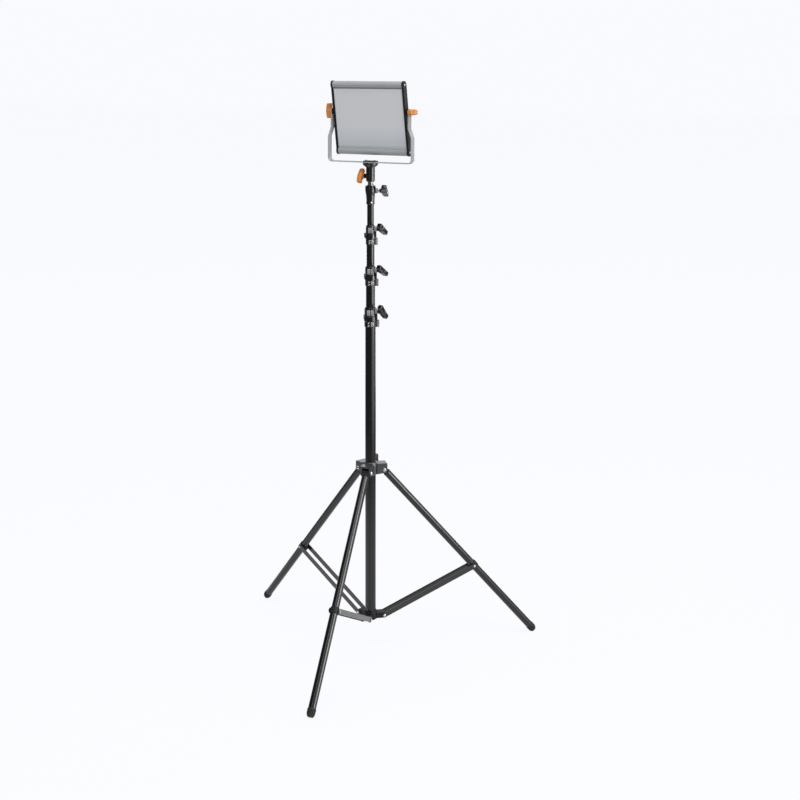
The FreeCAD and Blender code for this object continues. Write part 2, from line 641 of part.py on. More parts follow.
def friction_washers():
    washers = []
    for side in (-1, 1):
        inner, outer = side * (PANEL_HALF + BOSS_LONG), side * (UPPER_ARM_X - BAR_T / 2 - RUNNING)
        ring = sleeve(9.0, STUD_R + RUNNING, Vector(inner, PIVOT_Y, 0), Vector(outer, PIVOT_Y, 0))
        washers.append(tilted(ring))
    return washers


def diffuser():
    half = PANEL_HALF - CAP_T
    margin = 9.9
    return tilted(slab((-half, half), (-4.0, -1.6), (BARREL_Z[0] + margin, BARREL_Z[1] - margin)))


def led_board():
    half = PANEL_HALF - CAP_T - 1
    return tilted(slab((-half, half), (6.4, 8.0), (BARREL_Z[0] + 11.5, BARREL_Z[1] - 11.5)))


def led_strips():
    """Rows of LEDs on the board, warm and cool in turn."""
    rows, margin = 16, 18.0
    low, high = BARREL_Z[0] + margin, BARREL_Z[1] - margin
    half = PANEL_HALF - CAP_T - 6
    strips = []
    for row in range(rows):
        z = low + (high - low) * row / (rows - 1)
        strips.append(tilted(slab((-half, half), (5.2, 6.4), (z - 1.5, z + 1.5))))
    return strips


def cover_openings():
    """What is cut through the rear cover's back wall."""
    y_low, y_high = COVER_Y[1] - COVER_WALL - SLIT, COVER_Y[1] + SLIT
    half_x, half_z = SWITCH_HALF[0] + 0.2, SWITCH_HALF[1] + 0.9
    shapes = [
        slab((-WINDOW_HALF, WINDOW_HALF), (y_low, y_high), WINDOW_Z),
        slab((-half_x, half_x), (y_low, y_high), (SWITCH_Z - half_z, SWITCH_Z + half_z)),
        rod(JACK_R, Vector(0, y_low, JACK_Z), Vector(0, y_high, JACK_Z)),
    ]
    for z in DIAL_Z:
        shapes.append(rod(DIAL_SHAFT_R + RUNNING, Vector(0, y_low, z), Vector(0, y_high, z)))
    vents, pitch, slot = 5, 5.0, 2.0
    for side in (-1, 1):
        x_low, x_high = sorted((side * 34.0, side * 62.0))
        for row in range(vents):
            z = 28.0 + pitch * row
            shapes.append(slab((x_low, x_high), (y_low, y_high), (z, z + slot)))
        for x, z in cover_screw_places(side):
            shapes.append(rod(COVER_SCREW_R, Vector(x, y_low, z), Vector(x, y_high, z)))
    return shapes


def switch_bearing(side):
    """A lug inside the cover that carries one end of the power switch's axle."""
    x_low, x_high = sorted((side * (SWITCH_HALF[0] + 0.6), side * (SWITCH_HALF[0] + 2.6)))
    y = (SWITCH_AXLE_Y - 3, COVER_Y[1] - COVER_WALL + 0.5)
    lug = slab((x_low, x_high), y, (SWITCH_Z - 3, SWITCH_Z + 3))
    start = Vector(x_low - SLIT, SWITCH_AXLE_Y, SWITCH_Z)
    end = Vector(x_high + SLIT, SWITCH_AXLE_Y, SWITCH_Z)
    return lug.cut(rod(SWITCH_AXLE_R + RUNNING, start, end))


def rear_cover():
    """The plastic cover over the electronics, open towards the housing, with vents."""
    wall = COVER_WALL
    shell = rounded_block((-COVER_HALF, COVER_HALF), COVER_Y, COVER_Z, 8.0)
    hollow = rounded_block(
        (-COVER_HALF + wall, COVER_HALF - wall), (COVER_Y[0] - SLIT, COVER_Y[1] - wall),
        (COVER_Z[0] + wall, COVER_Z[1] - wall), 6.0,
    )
    cover = shell.cut(hollow)
    rim = [e for e in cover.Edges if abs(e.CenterOfMass.y - COVER_Y[1]) < 0.01 and e.Length > 5]
    cover = cover.makeChamfer(1.2, rim)
    for opening in cover_openings():
        cover = cover.cut(opening)
    return tilted(joined([cover, switch_bearing(-1), switch_bearing(1)]))


def battery_plates():
    """Two slide-in battery plates with side rails, a latch window and contact blocks."""
    plates = []
    for side in (-1, 1):
        x = side * PLATE_X
        y = COVER_Y[1]
        base = rounded_block((x - PLATE_HALF, x + PLATE_HALF), (y, y + 3), PLATE_Z, 2.5)
        pieces = [base]
        for edge in (-1, 1):
            x_low, x_high = sorted((x + edge * PLATE_HALF, x + edge * (PLATE_HALF - 3.5)))
            pieces.append(slab((x_low, x_high), (y + 2, PLATE_TOP), (PLATE_Z[0] + 4, PLATE_Z[1] - 10)))
            lip_low, lip_high = sorted((x + edge * (PLATE_HALF - 5.5), x + edge * PLATE_HALF))
            for z in (PLATE_Z[0] + 10, PLATE_Z[0] + 44):
                pieces.append(slab((lip_low, lip_high), (PLATE_TOP - 1.5, PLATE_TOP), (z, z + 12)))
        pieces.append(slab((x - 9, x + 9), (y + 2, y + 5), (PLATE_Z[1] - 8, PLATE_Z[1] - 3)))
        plate = joined(pieces)
        pocket = slab((x - 4.1, x + 4.1), (y + 0.5, y + 9), (PLATE_Z[0] + 5.9, PLATE_Z[0] + 14.1))
        plates.append(tilted(plate.cut(pocket)))
    return plates


def release_button(side):
    """The push button that lets a battery slide off its plate."""
    x, y = side * PLATE_X, COVER_Y[1]
    z = PLATE_Z[0] + 10
    return tilted(rounded_block((x - 4, x + 4), (y + 2.6, y + 6.6), (z - 4, z + 4), 1.5))


def dial(z):
    """A rotary dial with a grip of shallow flutes on a short shaft."""
    y = COVER_Y[1]
    base, top = y + 0.6, y + 10
    knob = rod(DIAL_R, Vector(0, base, z), Vector(0, top, z))
    top_edge = [e for e in knob.Edges if abs(e.CenterOfMass.y - top) < 0.01]
    knob = knob.makeChamfer(0.8, top_edge)
    shaft = rod(DIAL_SHAFT_R, Vector(0, y - 5, z), Vector(0, base + 0.5, z))
    body = joined([knob, shaft])
    flutes, flute_r, circle = 12, 1.3, DIAL_R + 0.7
    for i in range(flutes):
        angle = 2 * math.pi * i / flutes
        x, up = circle * math.cos(angle), z + circle * math.sin(angle)
        body = body.cut(rod(flute_r, Vector(x, y + 2.4, up), Vector(x, top + SLIT, up)))
    return tilted(body)


def power_switch():
    """A rocker with a shallow V face on a round axle, pressed in at its upper end."""
    y, half_x, half_z = COVER_Y[1], SWITCH_HALF[0], SWITCH_HALF[1]
    edge_y, middle_y, under_y = y + 1.8, y + 0.9, y - 2.2
    outline = [
        (under_y, SWITCH_Z - half_z), (edge_y, SWITCH_Z - half_z), (middle_y, SWITCH_Z),
        (edge_y, SWITCH_Z + half_z), (under_y, SWITCH_Z + half_z),
    ]
    pivot = Vector(0, SWITCH_AXLE_Y, SWITCH_Z)
    reach = RIGHT * (half_x + 2.4)
    axle = rod(SWITCH_AXLE_R, pivot - reach, pivot + reach)
    rib_z = (SWITCH_Z - SWITCH_AXLE_R, SWITCH_Z + SWITCH_AXLE_R)
    rib = slab((-half_x, half_x), (SWITCH_AXLE_Y, under_y + 0.5), rib_z)
    rocker = joined([plate_yz(outline, -half_x, half_x), rib, axle])
    return tilted(rocker.rotated(pivot, RIGHT, SWITCH_ROCK))


def dc_jack():
    """A barrel socket: its shell, closed at the inner end, and the centre pin."""
    y = COVER_Y[1]
    opening, mouth, floor_y, inner_y = 2.75, y + 0.8, y - 8, y - 9.5
    barrel = sleeve(JACK_R, opening, Vector(0, floor_y, JACK_Z), Vector(0, mouth, JACK_Z))
    end = rod(JACK_R, Vector(0, inner_y, JACK_Z), Vector(0, floor_y, JACK_Z))
    pin = rod(1.0, Vector(0, floor_y, JACK_Z), Vector(0, y - 1, JACK_Z))
    return tilted(joined([barrel, end, pin]))


def display_window():
    y = COVER_Y[1]
    return tilted(slab((-WINDOW_HALF, WINDOW_HALF), (y - COVER_WALL, y - 0.4), WINDOW_Z))


def control_board():
    """The driver board behind the dials and the battery plates."""
    half, y, z = 66.0, (18.0, 19.6), (-88.0, 48.0)
    return tilted(slab((-half, half), y, z))


# ---------------------------------------------------------------- saving every sub-part
def save(name, shapes):
    """Writes one node. Separate solids stay separate."""
    solids = []
    for shape in shapes if isinstance(shapes, list) else [shapes]:
        solids += shape.Solids
    for solid in solids:
        if not solid.isValid():
            raise ValueError(f"{name} has an invalid solid")
    whole = solids[0] if len(solids) == 1 else Part.makeCompound(solids)
    whole.exportStep(f"parts/{name}.step")


def save_stand():
    save("column_tube", tube_above(COLUMN_R, COLUMN_BOTTOM, COLLAR_Z[0] + TUBE_TOP))
    save("column_end_cap", column_end_cap())
    save("lower_spider", lower_spider())
    riser_tops = (COLLAR_Z[1] + TUBE_TOP, COLLAR_Z[2] + TUBE_TOP, RISER_TOP)
    for index in range(3):
        number = index + 1
        save(f"riser_{number}_tube", tube_above(RISER_R[index], RISER_BOTTOM[index], riser_tops[index]))
        save(f"riser_{number}_bushing", riser_bushing(index))
        save(f"section_collar_{number}", section_collar(index))
        save(f"section_knob_{number}", section_knob(index))
    save("stand_head", stand_head())
    save("head_knob", head_knob())
    save("spigot", spigot())
    save("leg_collar", leg_collar())
    save("leg_collar_knob", leg_collar_knob())
    leg_pin = headed_pin(PIVOT_R, LEG_PIVOT_Z, LUG_HALF, STUD_R)
    save("leg_pins", [swung(leg_pin, azimuth) for azimuth in LEG_AZIMUTHS])
    for number, azimuth in enumerate(LEG_AZIMUTHS, start=1):
        save(f"leg_{number}_tube", swung(leg_tube(), azimuth))
        save(f"leg_{number}_fittings", [swung(s, azimuth) for s in leg_fittings()])
        save(f"foot_{number}", swung(foot(), azimuth))
        save(f"brace_{number}", [swung(s, azimuth) for s in brace()])


def save_light():
    save("mount_socket", mount_socket())
    save("mount_knob", mount_knob())
    save("u_bracket", u_bracket())
    save("bracket_plate", bracket_plate())
    save("bracket_bolts", bracket_bolts())
    knob_face = UPPER_ARM_X + BAR_T / 2 + RUNNING
    tilt_knob = wing_knob(PANEL_HALF - CAP_T, knob_face, TILT_Z, 0)
    save("tilt_knob_left", tilt_knob.rotated(TILT_PIVOT, UP, 180))
    save("tilt_knob_right", tilt_knob.rotated(TILT_PIVOT, RIGHT, 90))
    save("panel_housing", panel_housing())
    save("end_cap_left", end_cap(-1))
    save("end_cap_right", end_cap(1))
    save("panel_screws", panel_screws())
    save("friction_washers", friction_washers())
    save("diffuser", diffuser())
    save("led_board", led_board())
    save("led_strips", led_strips())
    save("rear_cover", rear_cover())
    save("battery_plates", battery_plates())
    save("release_button_left", release_button(-1))
    save("release_button_right", release_button(1))
    save("brightness_dial", dial(DIAL_Z[0]))
    save("colour_dial", dial(DIAL_Z[1]))
    save("power_switch", power_switch())
    save("dc_jack", dc_jack())
    save("display_window", display_window())
    save("control_board", control_board())


os.makedirs("parts", exist_ok=True)
save_stand()
save_light()
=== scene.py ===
"""Looks of the LED panel light: materials, moulded knobs, threads, rivets, feet and panel details.

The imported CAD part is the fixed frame. Every piece made here takes its place from a CAD node or a
joint, and rides on that node's body. Lengths are metres; MM turns millimetres into metres.
"""

import json
import math

import bmesh
import bpy
from mathutils import Matrix, Vector

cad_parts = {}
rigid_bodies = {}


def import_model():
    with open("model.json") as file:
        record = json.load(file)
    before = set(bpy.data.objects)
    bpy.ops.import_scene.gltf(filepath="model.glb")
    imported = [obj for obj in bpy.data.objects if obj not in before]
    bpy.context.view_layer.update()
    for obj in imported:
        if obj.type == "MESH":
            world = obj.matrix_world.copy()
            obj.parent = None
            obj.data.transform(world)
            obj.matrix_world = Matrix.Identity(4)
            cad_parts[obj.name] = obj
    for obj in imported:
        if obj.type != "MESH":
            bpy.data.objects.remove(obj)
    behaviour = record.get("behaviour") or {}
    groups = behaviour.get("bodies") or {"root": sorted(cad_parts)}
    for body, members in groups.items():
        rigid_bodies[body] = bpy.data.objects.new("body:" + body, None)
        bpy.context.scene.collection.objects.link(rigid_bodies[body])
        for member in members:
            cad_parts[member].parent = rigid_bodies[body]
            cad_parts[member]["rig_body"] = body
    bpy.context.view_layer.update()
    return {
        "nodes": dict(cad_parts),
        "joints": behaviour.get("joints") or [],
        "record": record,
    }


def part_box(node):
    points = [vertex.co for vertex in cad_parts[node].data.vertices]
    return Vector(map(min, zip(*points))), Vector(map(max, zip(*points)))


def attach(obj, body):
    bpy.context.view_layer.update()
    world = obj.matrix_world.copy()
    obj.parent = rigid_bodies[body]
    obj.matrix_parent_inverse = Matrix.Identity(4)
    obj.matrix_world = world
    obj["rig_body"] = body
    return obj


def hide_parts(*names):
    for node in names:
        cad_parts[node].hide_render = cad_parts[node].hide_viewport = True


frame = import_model()

MM = 0.001
NODES = frame["nodes"]
JOINTS = {joint["name"]: joint for joint in frame["joints"]}
BODY_OF = {node: obj["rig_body"] for node, obj in NODES.items()}
SLOT_OF = {sub["node"]: sub["material_slot"] for sub in frame["record"]["subparts"]}
X = Vector((1, 0, 0))
Y = Vector((0, 1, 0))
Z = Vector((0, 0, 1))


def mm(*lengths):
    """Lengths in millimetres, as a tuple of metres."""
    return tuple(length * MM for length in lengths)


# ---------------------------------------------------------------- places taken from the frame
def middle(node):
    low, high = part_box(node)
    return (low + high) / 2


def points_of(node):
    return [v.co.copy() for v in NODES[node].data.vertices]


def axis_frame(origin, axis, side=None):
    """A matrix whose X runs along axis, and whose Z is as near to side as it can be."""
    x = Vector(axis).normalized()
    side = Vector(side) if side is not None else (Z if abs(x.z) < 0.9 else X)
    z = (side - x * side.dot(x)).normalized()
    y = z.cross(x)
    turn = Matrix((x, y, z)).transposed().to_4x4()
    return Matrix.Translation(origin) @ turn


def knob_frame(node):
    """The frame of a knob: origin on its axis at its outer end, X outward, Z along its wings."""
    joint = JOINTS[node + "_turn"]
    axis = Vector(joint["axis"]).normalized()
    anchor = Vector(joint["pos_m"])
    outer = max((p - anchor).dot(axis) for p in points_of(node))
    flat = [(p - anchor) - axis * (p - anchor).dot(axis) for p in points_of(node)]
    farthest = max(flat, key=lambda p: p.length)
    tip = [p for p in flat if p.dot(farthest) > 0 and p.length > 0.97 * farthest.length]
    spread = [farthest.cross(p).dot(axis) / farthest.length**2 for p in tip]
    side = farthest + axis.cross(farthest) * (max(spread) + min(spread)) / 2
    return axis_frame(anchor + axis * outer, axis, side)


def inner_end(node, place):
    """How far behind a knob frame's origin the node reaches."""
    back = place.inverted()
    return min((back @ p).x for p in points_of(node))


# ---------------------------------------------------------------- node trees
class Tree:
    """A material's node tree, with short calls for the nodes that the finishes use."""

    def __init__(self, name):
        self.material = bpy.data.materials.new(name)
        self.material.use_nodes = True
        self.nodes = self.material.node_tree.nodes
        self.links = self.material.node_tree.links
        self.shader = self.nodes["Principled BSDF"]
        self.place = self.nodes.new("ShaderNodeTexCoord").outputs["Object"]

    def link(self, source, target):
        self.links.new(source, target)

    def set(self, name, value):
        """Sets or links one input of the shader."""
        self.feed(self.shader.inputs[name], value)

    def feed(self, socket, value):
        if isinstance(value, bpy.types.NodeSocket):
            self.links.new(value, socket)
        else:
            socket.default_value = value

    def stretched(self, scale):
        node = self.nodes.new("ShaderNodeMapping")
        node.inputs["Scale"].default_value = scale
        self.link(self.place, node.inputs["Vector"])
        return node.outputs["Vector"]

    def noise(self, size, detail=3.0, rough=0.55, place=None):
        """Noise whose features are about size metres across."""
        node = self.nodes.new("ShaderNodeTexNoise")
        node.inputs["Scale"].default_value = 1.0 / size
        node.inputs["Detail"].default_value = detail
        node.inputs["Roughness"].default_value = rough
        self.link(place or self.place, node.inputs["Vector"])
        return node.outputs["Fac"]

    def cells(self, size, feature="F1"):
        """Cells about size metres across."""
        node = self.nodes.new("ShaderNodeTexVoronoi")
        node.feature = feature
        node.inputs["Scale"].default_value = 1.0 / size
        self.link(self.place, node.inputs["Vector"])
        return node.outputs["Distance"]

    def remap(self, value, from_low, from_high, to_low, to_high):
        node = self.nodes.new("ShaderNodeMapRange")
        for name, number in (
            ("From Min", from_low), ("From Max", from_high), ("To Min", to_low), ("To Max", to_high),
        ):
            node.inputs[name].default_value = number
        self.link(value, node.inputs["Value"])
        return node.outputs["Result"]

    def math(self, operation, a, b):
        node = self.nodes.new("ShaderNodeMath")
        node.operation = operation
        self.feed(node.inputs[0], a)
        self.feed(node.inputs[1], b)
        return node.outputs["Value"]

    def mix(self, factor, a, b):
        node = self.nodes.new("ShaderNodeMix")
        node.data_type = "RGBA"
        self.feed(node.inputs["Factor"], factor)
        self.feed(node.inputs[6], a)
        self.feed(node.inputs[7], b)
        return node.outputs[2]

    def rays(self, kind):
        """1 for rays of a kind, such as Is Camera Ray, and 0 for the others."""
        return self.nodes.new("ShaderNodeLightPath").outputs[kind]

    def mix_value(self, factor, a, b):
        """A number between a and b."""
        node = self.nodes.new("ShaderNodeMix")
        self.feed(node.inputs["Factor"], factor)
        self.feed(node.inputs[2], a)
        self.feed(node.inputs[3], b)
        return node.outputs[0]

    def edges(self, radius):
        """1 on edges sharper than the radius, 0 on flat and gently curved faces."""
        bevel = self.nodes.new("ShaderNodeBevel")
        bevel.samples = 4
        bevel.inputs["Radius"].default_value = radius
        shape = self.nodes.new("ShaderNodeNewGeometry")
        dot = self.nodes.new("ShaderNodeVectorMath")
        dot.operation = "DOT_PRODUCT"
        self.link(bevel.outputs["Normal"], dot.inputs[0])
        self.link(shape.outputs["Normal"], dot.inputs[1])
        return self.remap(dot.outputs["Value"], 0.98, 0.82, 0.0, 1.0)

    def bump(self, height, distance, strength=1.0, below=None):
        node = self.nodes.new("ShaderNodeBump")
        node.inputs["Distance"].default_value = distance
        node.inputs["Strength"].default_value = strength
        self.link(height, node.inputs["Height"])
        if below is not None:
            self.link(below, node.inputs["Normal"])
        return node.outputs["Normal"]


def rgb(red, green, blue):
    return (red, green, blue, 1.0)


def scaled(colour, factor):
    return rgb(*[min(1.0, channel * factor) for channel in colour[:3]])


# ---------------------------------------------------------------- finishes
def moulded(
    name, colour, rough, grain=0.35 * MM, grain_height=0.03 * MM, wear=0.25, coat=0.0, shine=0.5
):
    """A moulded plastic: a fine spark-eroded grain, cloudy colour, handled edges."""
    tree = Tree(name)
    clouds = tree.noise(28 * MM, 4)
    smudge = tree.noise(9 * MM, 5, 0.65)
    base = tree.mix(clouds, scaled(colour, 0.86), scaled(colour, 1.16))
    edge = tree.math("MULTIPLY", tree.edges(0.5 * MM), tree.remap(smudge, 0.35, 0.65, 0.2, 1.0))
    worn = tree.mix(tree.math("MULTIPLY", edge, wear), base, scaled(colour, 2.2))
    tree.set("Base Color", worn)
    tree.set("Roughness", tree.remap(smudge, 0.3, 0.7, rough - 0.06, rough + 0.08))
    tree.set("Specular IOR Level", shine)
    tree.set("Coat Weight", coat)
    tree.set("Coat Roughness", 0.12)
    tree.set("Normal", tree.bump(tree.noise(grain, 2, 0.7), grain_height))
    return tree.material


def painted(name, colour, rough, peel=0.9 * MM, peel_height=0.02 * MM, wear=0.35, coat=0.25):
    """Paint or anodising on metal: slight orange peel, rubbed patches, bright worn edges."""
    tree = Tree(name)
    clouds = tree.noise(60 * MM, 4)
    rub = tree.noise(14 * MM, 6, 0.7)
    base = tree.mix(clouds, scaled(colour, 0.9), scaled(colour, 1.12))
    edge = tree.math("MULTIPLY", tree.edges(0.4 * MM), tree.remap(rub, 0.45, 0.7, 0.0, 1.0))
    tree.set("Base Color", tree.mix(tree.math("MULTIPLY", edge, wear), base, rgb(0.42, 0.42, 0.43)))
    tree.set("Roughness", tree.remap(rub, 0.3, 0.75, rough - 0.05, rough + 0.1))
    tree.set("Specular IOR Level", 0.5)
    tree.set("Coat Weight", coat)
    tree.set("Coat Roughness", 0.16)
    fine = tree.bump(tree.noise(peel, 2), peel_height)
    scratch_place = tree.stretched((1.0, 1.0, 0.04))
    scratches = tree.noise(0.5 * MM, 1, 0.5, scratch_place)
    tree.set("Normal", tree.bump(scratches, 0.004 * MM, 0.6, fine))
    return tree.material


def drawn_metal(name, colour, rough, grain, streak=0.3 * MM, depth=0.006 * MM, wear=0.3):
    """Metal with drawing or brushing lines along the axis whose grain factor is small."""
    tree = Tree(name)
    along = tree.stretched(grain)
    lines = tree.noise(streak, 4, 0.7, along)
    clouds = tree.noise(40 * MM, 3)
    base = tree.mix(lines, scaled(colour, 0.88), scaled(colour, 1.1))
    base = tree.mix(tree.math("MULTIPLY", tree.edges(0.4 * MM), wear), base, scaled(colour, 1.4))
    tree.set("Base Color", base)
    tree.set("Metallic", 1.0)
    shade = tree.remap(lines, 0.3, 0.7, rough - 0.07, rough + 0.07)
    tree.set("Roughness", tree.math("ADD", shade, tree.remap(clouds, 0.3, 0.7, -0.04, 0.05)))
    tree.set("Normal", tree.bump(lines, depth))
    return tree.material


def bright_steel():
    """Polished steel with fine turning marks and small pits."""
    tree = Tree("bright_steel")
    pits = tree.noise(0.6 * MM, 3, 0.7)
    haze = tree.noise(7 * MM, 4)
    tree.set("Base Color", tree.mix(haze, rgb(0.66, 0.66, 0.67), rgb(0.8, 0.8, 0.8)))
    tree.set("Metallic", 1.0)
    tree.set("Roughness", tree.remap(haze, 0.3, 0.7, 0.12, 0.26))
    tree.set("Normal", tree.bump(pits, 0.006 * MM))
    return tree.material


def zinc_steel():
    """Zinc plate: pale, with a faint spangle and dull patches."""
    tree = Tree("zinc_steel")
    spangle = tree.cells(2.2 * MM)
    haze = tree.noise(5 * MM, 4)
    tree.set("Base Color", tree.mix(spangle, rgb(0.5, 0.5, 0.52), rgb(0.72, 0.72, 0.73)))
    tree.set("Metallic", 1.0)
    tree.set("Roughness", tree.remap(haze, 0.3, 0.7, 0.28, 0.45))
    tree.set("Normal", tree.bump(tree.noise(0.35 * MM, 2), 0.008 * MM))
    return tree.material


def rubber():
    """Matt rubber with a pebbled skin and pale dust in the grain."""
    tree = Tree("black_rubber")
    pebble = tree.cells(0.55 * MM, "SMOOTH_F1")
    dust = tree.noise(11 * MM, 6, 0.7)
    dusty = tree.remap(dust, 0.45, 0.75, 0.0, 0.5)
    tree.set("Base Color", tree.mix(dusty, rgb(0.018, 0.018, 0.019), rgb(0.06, 0.058, 0.055)))
    tree.set("Roughness", tree.remap(dust, 0.3, 0.7, 0.68, 0.86))
    tree.set("Specular IOR Level", 0.35)
    tree.set("Normal", tree.bump(pebble, 0.05 * MM, 0.7))
    return tree.material


SPOT_PITCH = 9.3 * MM                  # between the faint spots that show through the sheet
FOLD_IN = 9 * MM                       # from the sheet's side edge to its faint upright line


def opal():
    """The frosted diffuser sheet: pale grey, with painted shade darkening it towards its lower edge, a fine
    frost, a hint of the LEDs behind it and a faint line along each side."""
    tree = Tree("opal")
    split = tree.nodes.new("ShaderNodeSeparateXYZ")
    tree.link(tree.place, split.inputs["Vector"])
    low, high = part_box("diffuser")
    height = tree.remap(split.outputs["Z"], low.z, high.z, 0.0, 1.0)
    wave = 2 * math.pi / SPOT_PITCH
    rows = tree.math("SINE", tree.math("MULTIPLY", split.outputs["Z"], wave), 0.0)
    columns = tree.math("SINE", tree.math("MULTIPLY", split.outputs["X"], wave), 0.0)
    spots = tree.remap(tree.math("MULTIPLY", rows, columns), -1.0, 1.0, 0.0, 1.0)
    # painted shade: the base colour is darkest at the sheet's lower edge and lightens up to about a third
    # of its height
    above_painted_shade = tree.remap(height, 0.0, 0.06, 0.0, 1.0)
    shade = tree.mix(above_painted_shade, rgb(0.42, 0.46, 0.49), rgb(0.61, 0.655, 0.70))
    shade = tree.mix(tree.remap(height, 0.04, 0.35, 0.0, 1.0), shade, rgb(0.75, 0.765, 0.80))
    shade = tree.mix(tree.math("MULTIPLY", spots, 0.10), shade, rgb(0.80, 0.79, 0.72))
    from_middle = tree.math("ABSOLUTE", split.outputs["X"], 0.0)
    from_line = tree.math("ABSOLUTE", tree.math("SUBTRACT", from_middle, high.x - FOLD_IN), 0.0)
    line = tree.remap(from_line, 0.3 * MM, 1.1 * MM, 0.35, 0.0)
    shade = tree.mix(line, shade, rgb(0.86, 0.87, 0.90))
    tree.set("Base Color", shade)
    tree.set("Roughness", tree.remap(tree.noise(12 * MM, 4), 0.3, 0.7, 0.42, 0.52))
    tree.set("Subsurface Weight", 0.15)
    tree.set("Subsurface Radius", (2 * MM, 2 * MM, 2 * MM))
    tree.set("Normal", tree.bump(tree.noise(0.25 * MM, 2), 0.012 * MM))
    return tree.material


def board(name, dark, light, rough):
    """A circuit board: solder mask over faint copper tracks."""
    tree = Tree(name)
    tracks = tree.cells(4.5 * MM, "DISTANCE_TO_EDGE")
    line = tree.remap(tracks, 0.04, 0.06, 1.0, 0.0)
    tree.set("Base Color", tree.mix(line, dark, light))
    tree.set("Roughness", tree.remap(tree.noise(3 * MM), 0.3, 0.7, rough - 0.05, rough + 0.05))
    tree.set("Coat Weight", 0.4)
    tree.set("Normal", tree.bump(line, 0.02 * MM))
    return tree.material


def phosphor():
    """LED phosphor: warm yellow with a grain of crystals."""
    tree = Tree("led_phosphor")
    grain = tree.noise(0.5 * MM, 4)
    tree.set("Base Color", tree.mix(grain, rgb(0.75, 0.52, 0.10), rgb(0.92, 0.78, 0.32)))
    tree.set("Roughness", tree.remap(grain, 0.3, 0.7, 0.4, 0.6))
    tree.set("Normal", tree.bump(grain, 0.03 * MM))
    return tree.material


def display_glass():
    """A smoked window over a switched-off display, with faint finger marks."""
    tree = Tree("display_glass")
    smear = tree.noise(6 * MM, 5, 0.7)
    tree.set("Base Color", tree.mix(smear, rgb(0.010, 0.014, 0.013), rgb(0.02, 0.026, 0.024)))
    tree.set("Roughness", tree.remap(smear, 0.4, 0.7, 0.05, 0.22))
    tree.set("Coat Weight", 1.0)
    tree.set("Coat Roughness", 0.03)
    tree.set("Normal", tree.bump(tree.noise(18 * MM), 0.01 * MM))
    return tree.material


def brass():
    return drawn_metal("brass_contact", rgb(0.78, 0.56, 0.22), 0.28, (1.0, 1.0, 0.1))


def white_ink():
    """Screen-printed ink for dial marks, slightly patchy."""
    tree = Tree("white_ink")
    patch = tree.noise(0.7 * MM, 4)
    tree.set("Base Color", tree.mix(patch, rgb(0.5, 0.5, 0.5), rgb(0.78, 0.78, 0.78)))
    tree.set("Roughness", 0.55)
    tree.set("Normal", tree.bump(patch, 0.01 * MM))
    return tree.material


FINISH = {
    "black_tube": painted(
        "black_tube", rgb(0.006, 0.006, 0.007), 0.16, peel=3.0 * MM, peel_height=0.004 * MM, coat=0.0
    ),
    "black_gloss": moulded(
        "black_gloss", rgb(0.006, 0.006, 0.007), 0.2, grain=1.2 * MM, grain_height=0.004 * MM,
        wear=0.2, coat=0.3,
    ),
    "black_plastic": moulded(
        "black_plastic", rgb(0.014, 0.014, 0.015), 0.5, grain=0.4 * MM, grain_height=0.015 * MM,
        shine=0.22,
    ),
    "cast_grey": painted(
        "cast_grey", rgb(0.045, 0.048, 0.055), 0.3, peel=1.5 * MM, peel_height=0.01 * MM,
        wear=0.6, coat=0.6,
    ),
    "brace_black": painted(
        "brace_black", rgb(0.012, 0.012, 0.013), 0.26, peel=2.0 * MM, peel_height=0.006 * MM, coat=0.3
    ),
    "satin_metal": painted(
        "satin_metal", rgb(0.34, 0.34, 0.345), 0.4, peel=0.5 * MM, peel_height=0.01 * MM,
        wear=0.3, coat=0.0,
    ),
    "dark_chrome": drawn_metal(
        "dark_chrome", rgb(0.25, 0.25, 0.26), 0.17, (1.0, 1.0, 0.1), streak=0.2 * MM, depth=0.002 * MM
    ),
    "orange_plastic": moulded(
        "orange_plastic", rgb(0.72, 0.26, 0.045), 0.42, grain=0.3 * MM, grain_height=0.02 * MM,
        wear=0.1, coat=0.1,
    ),
    "bracket_paint": painted(
        "bracket_paint", rgb(0.44, 0.45, 0.46), 0.42, peel=0.7 * MM, wear=0.3, coat=0.1
    ),
    "housing_metal": painted(
        "housing_metal", rgb(0.40, 0.41, 0.425), 0.36, peel=0.6 * MM, peel_height=0.01 * MM,
        wear=0.3, coat=0.2,
    ),
    "bright_steel": bright_steel(),
    "zinc_steel": zinc_steel(),
    "black_rubber": rubber(),
    "nylon": moulded("nylon", rgb(0.72, 0.71, 0.66), 0.4),
    "opal": opal(),
    "led_board": board("led_board", rgb(0.78, 0.78, 0.75), rgb(0.7, 0.7, 0.66), 0.4),
    "led_phosphor": phosphor(),
    "circuit_board": board("circuit_board", rgb(0.01, 0.09, 0.035), rgb(0.03, 0.2, 0.08), 0.35),
    "display_glass": display_glass(),
    "brass_contact": brass(),
    "white_ink": white_ink(),
}


# ---------------------------------------------------------------- mesh making
def finish_piece(obj, finish, body, crease=35.0):
    """Gives a new mesh its material and shading, and makes it ride on a body."""
    obj.data.materials.append(FINISH[finish])
    obj.data.shade_smooth()
    obj.data.set_sharp_from_angle(angle=math.radians(crease))
    bpy.context.scene.collection.objects.link(obj)
    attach(obj, body)
    return obj


def piece(name, points, faces, finish, body, crease=35.0):
    """A new mesh from points and faces. Edges sharper than crease, in degrees, stay sharp."""
    mesh = bpy.data.meshes.new(name)
    mesh.from_pydata([tuple(p) for p in points], [], faces)
    tidy = bmesh.new()
    tidy.from_mesh(mesh)
    bmesh.ops.remove_doubles(tidy, verts=tidy.verts, dist=1e-7)
    bmesh.ops.recalc_face_normals(tidy, faces=tidy.faces)
    tidy.to_mesh(mesh)
    tidy.free()
    return finish_piece(bpy.data.objects.new(name, mesh), finish, body, crease)


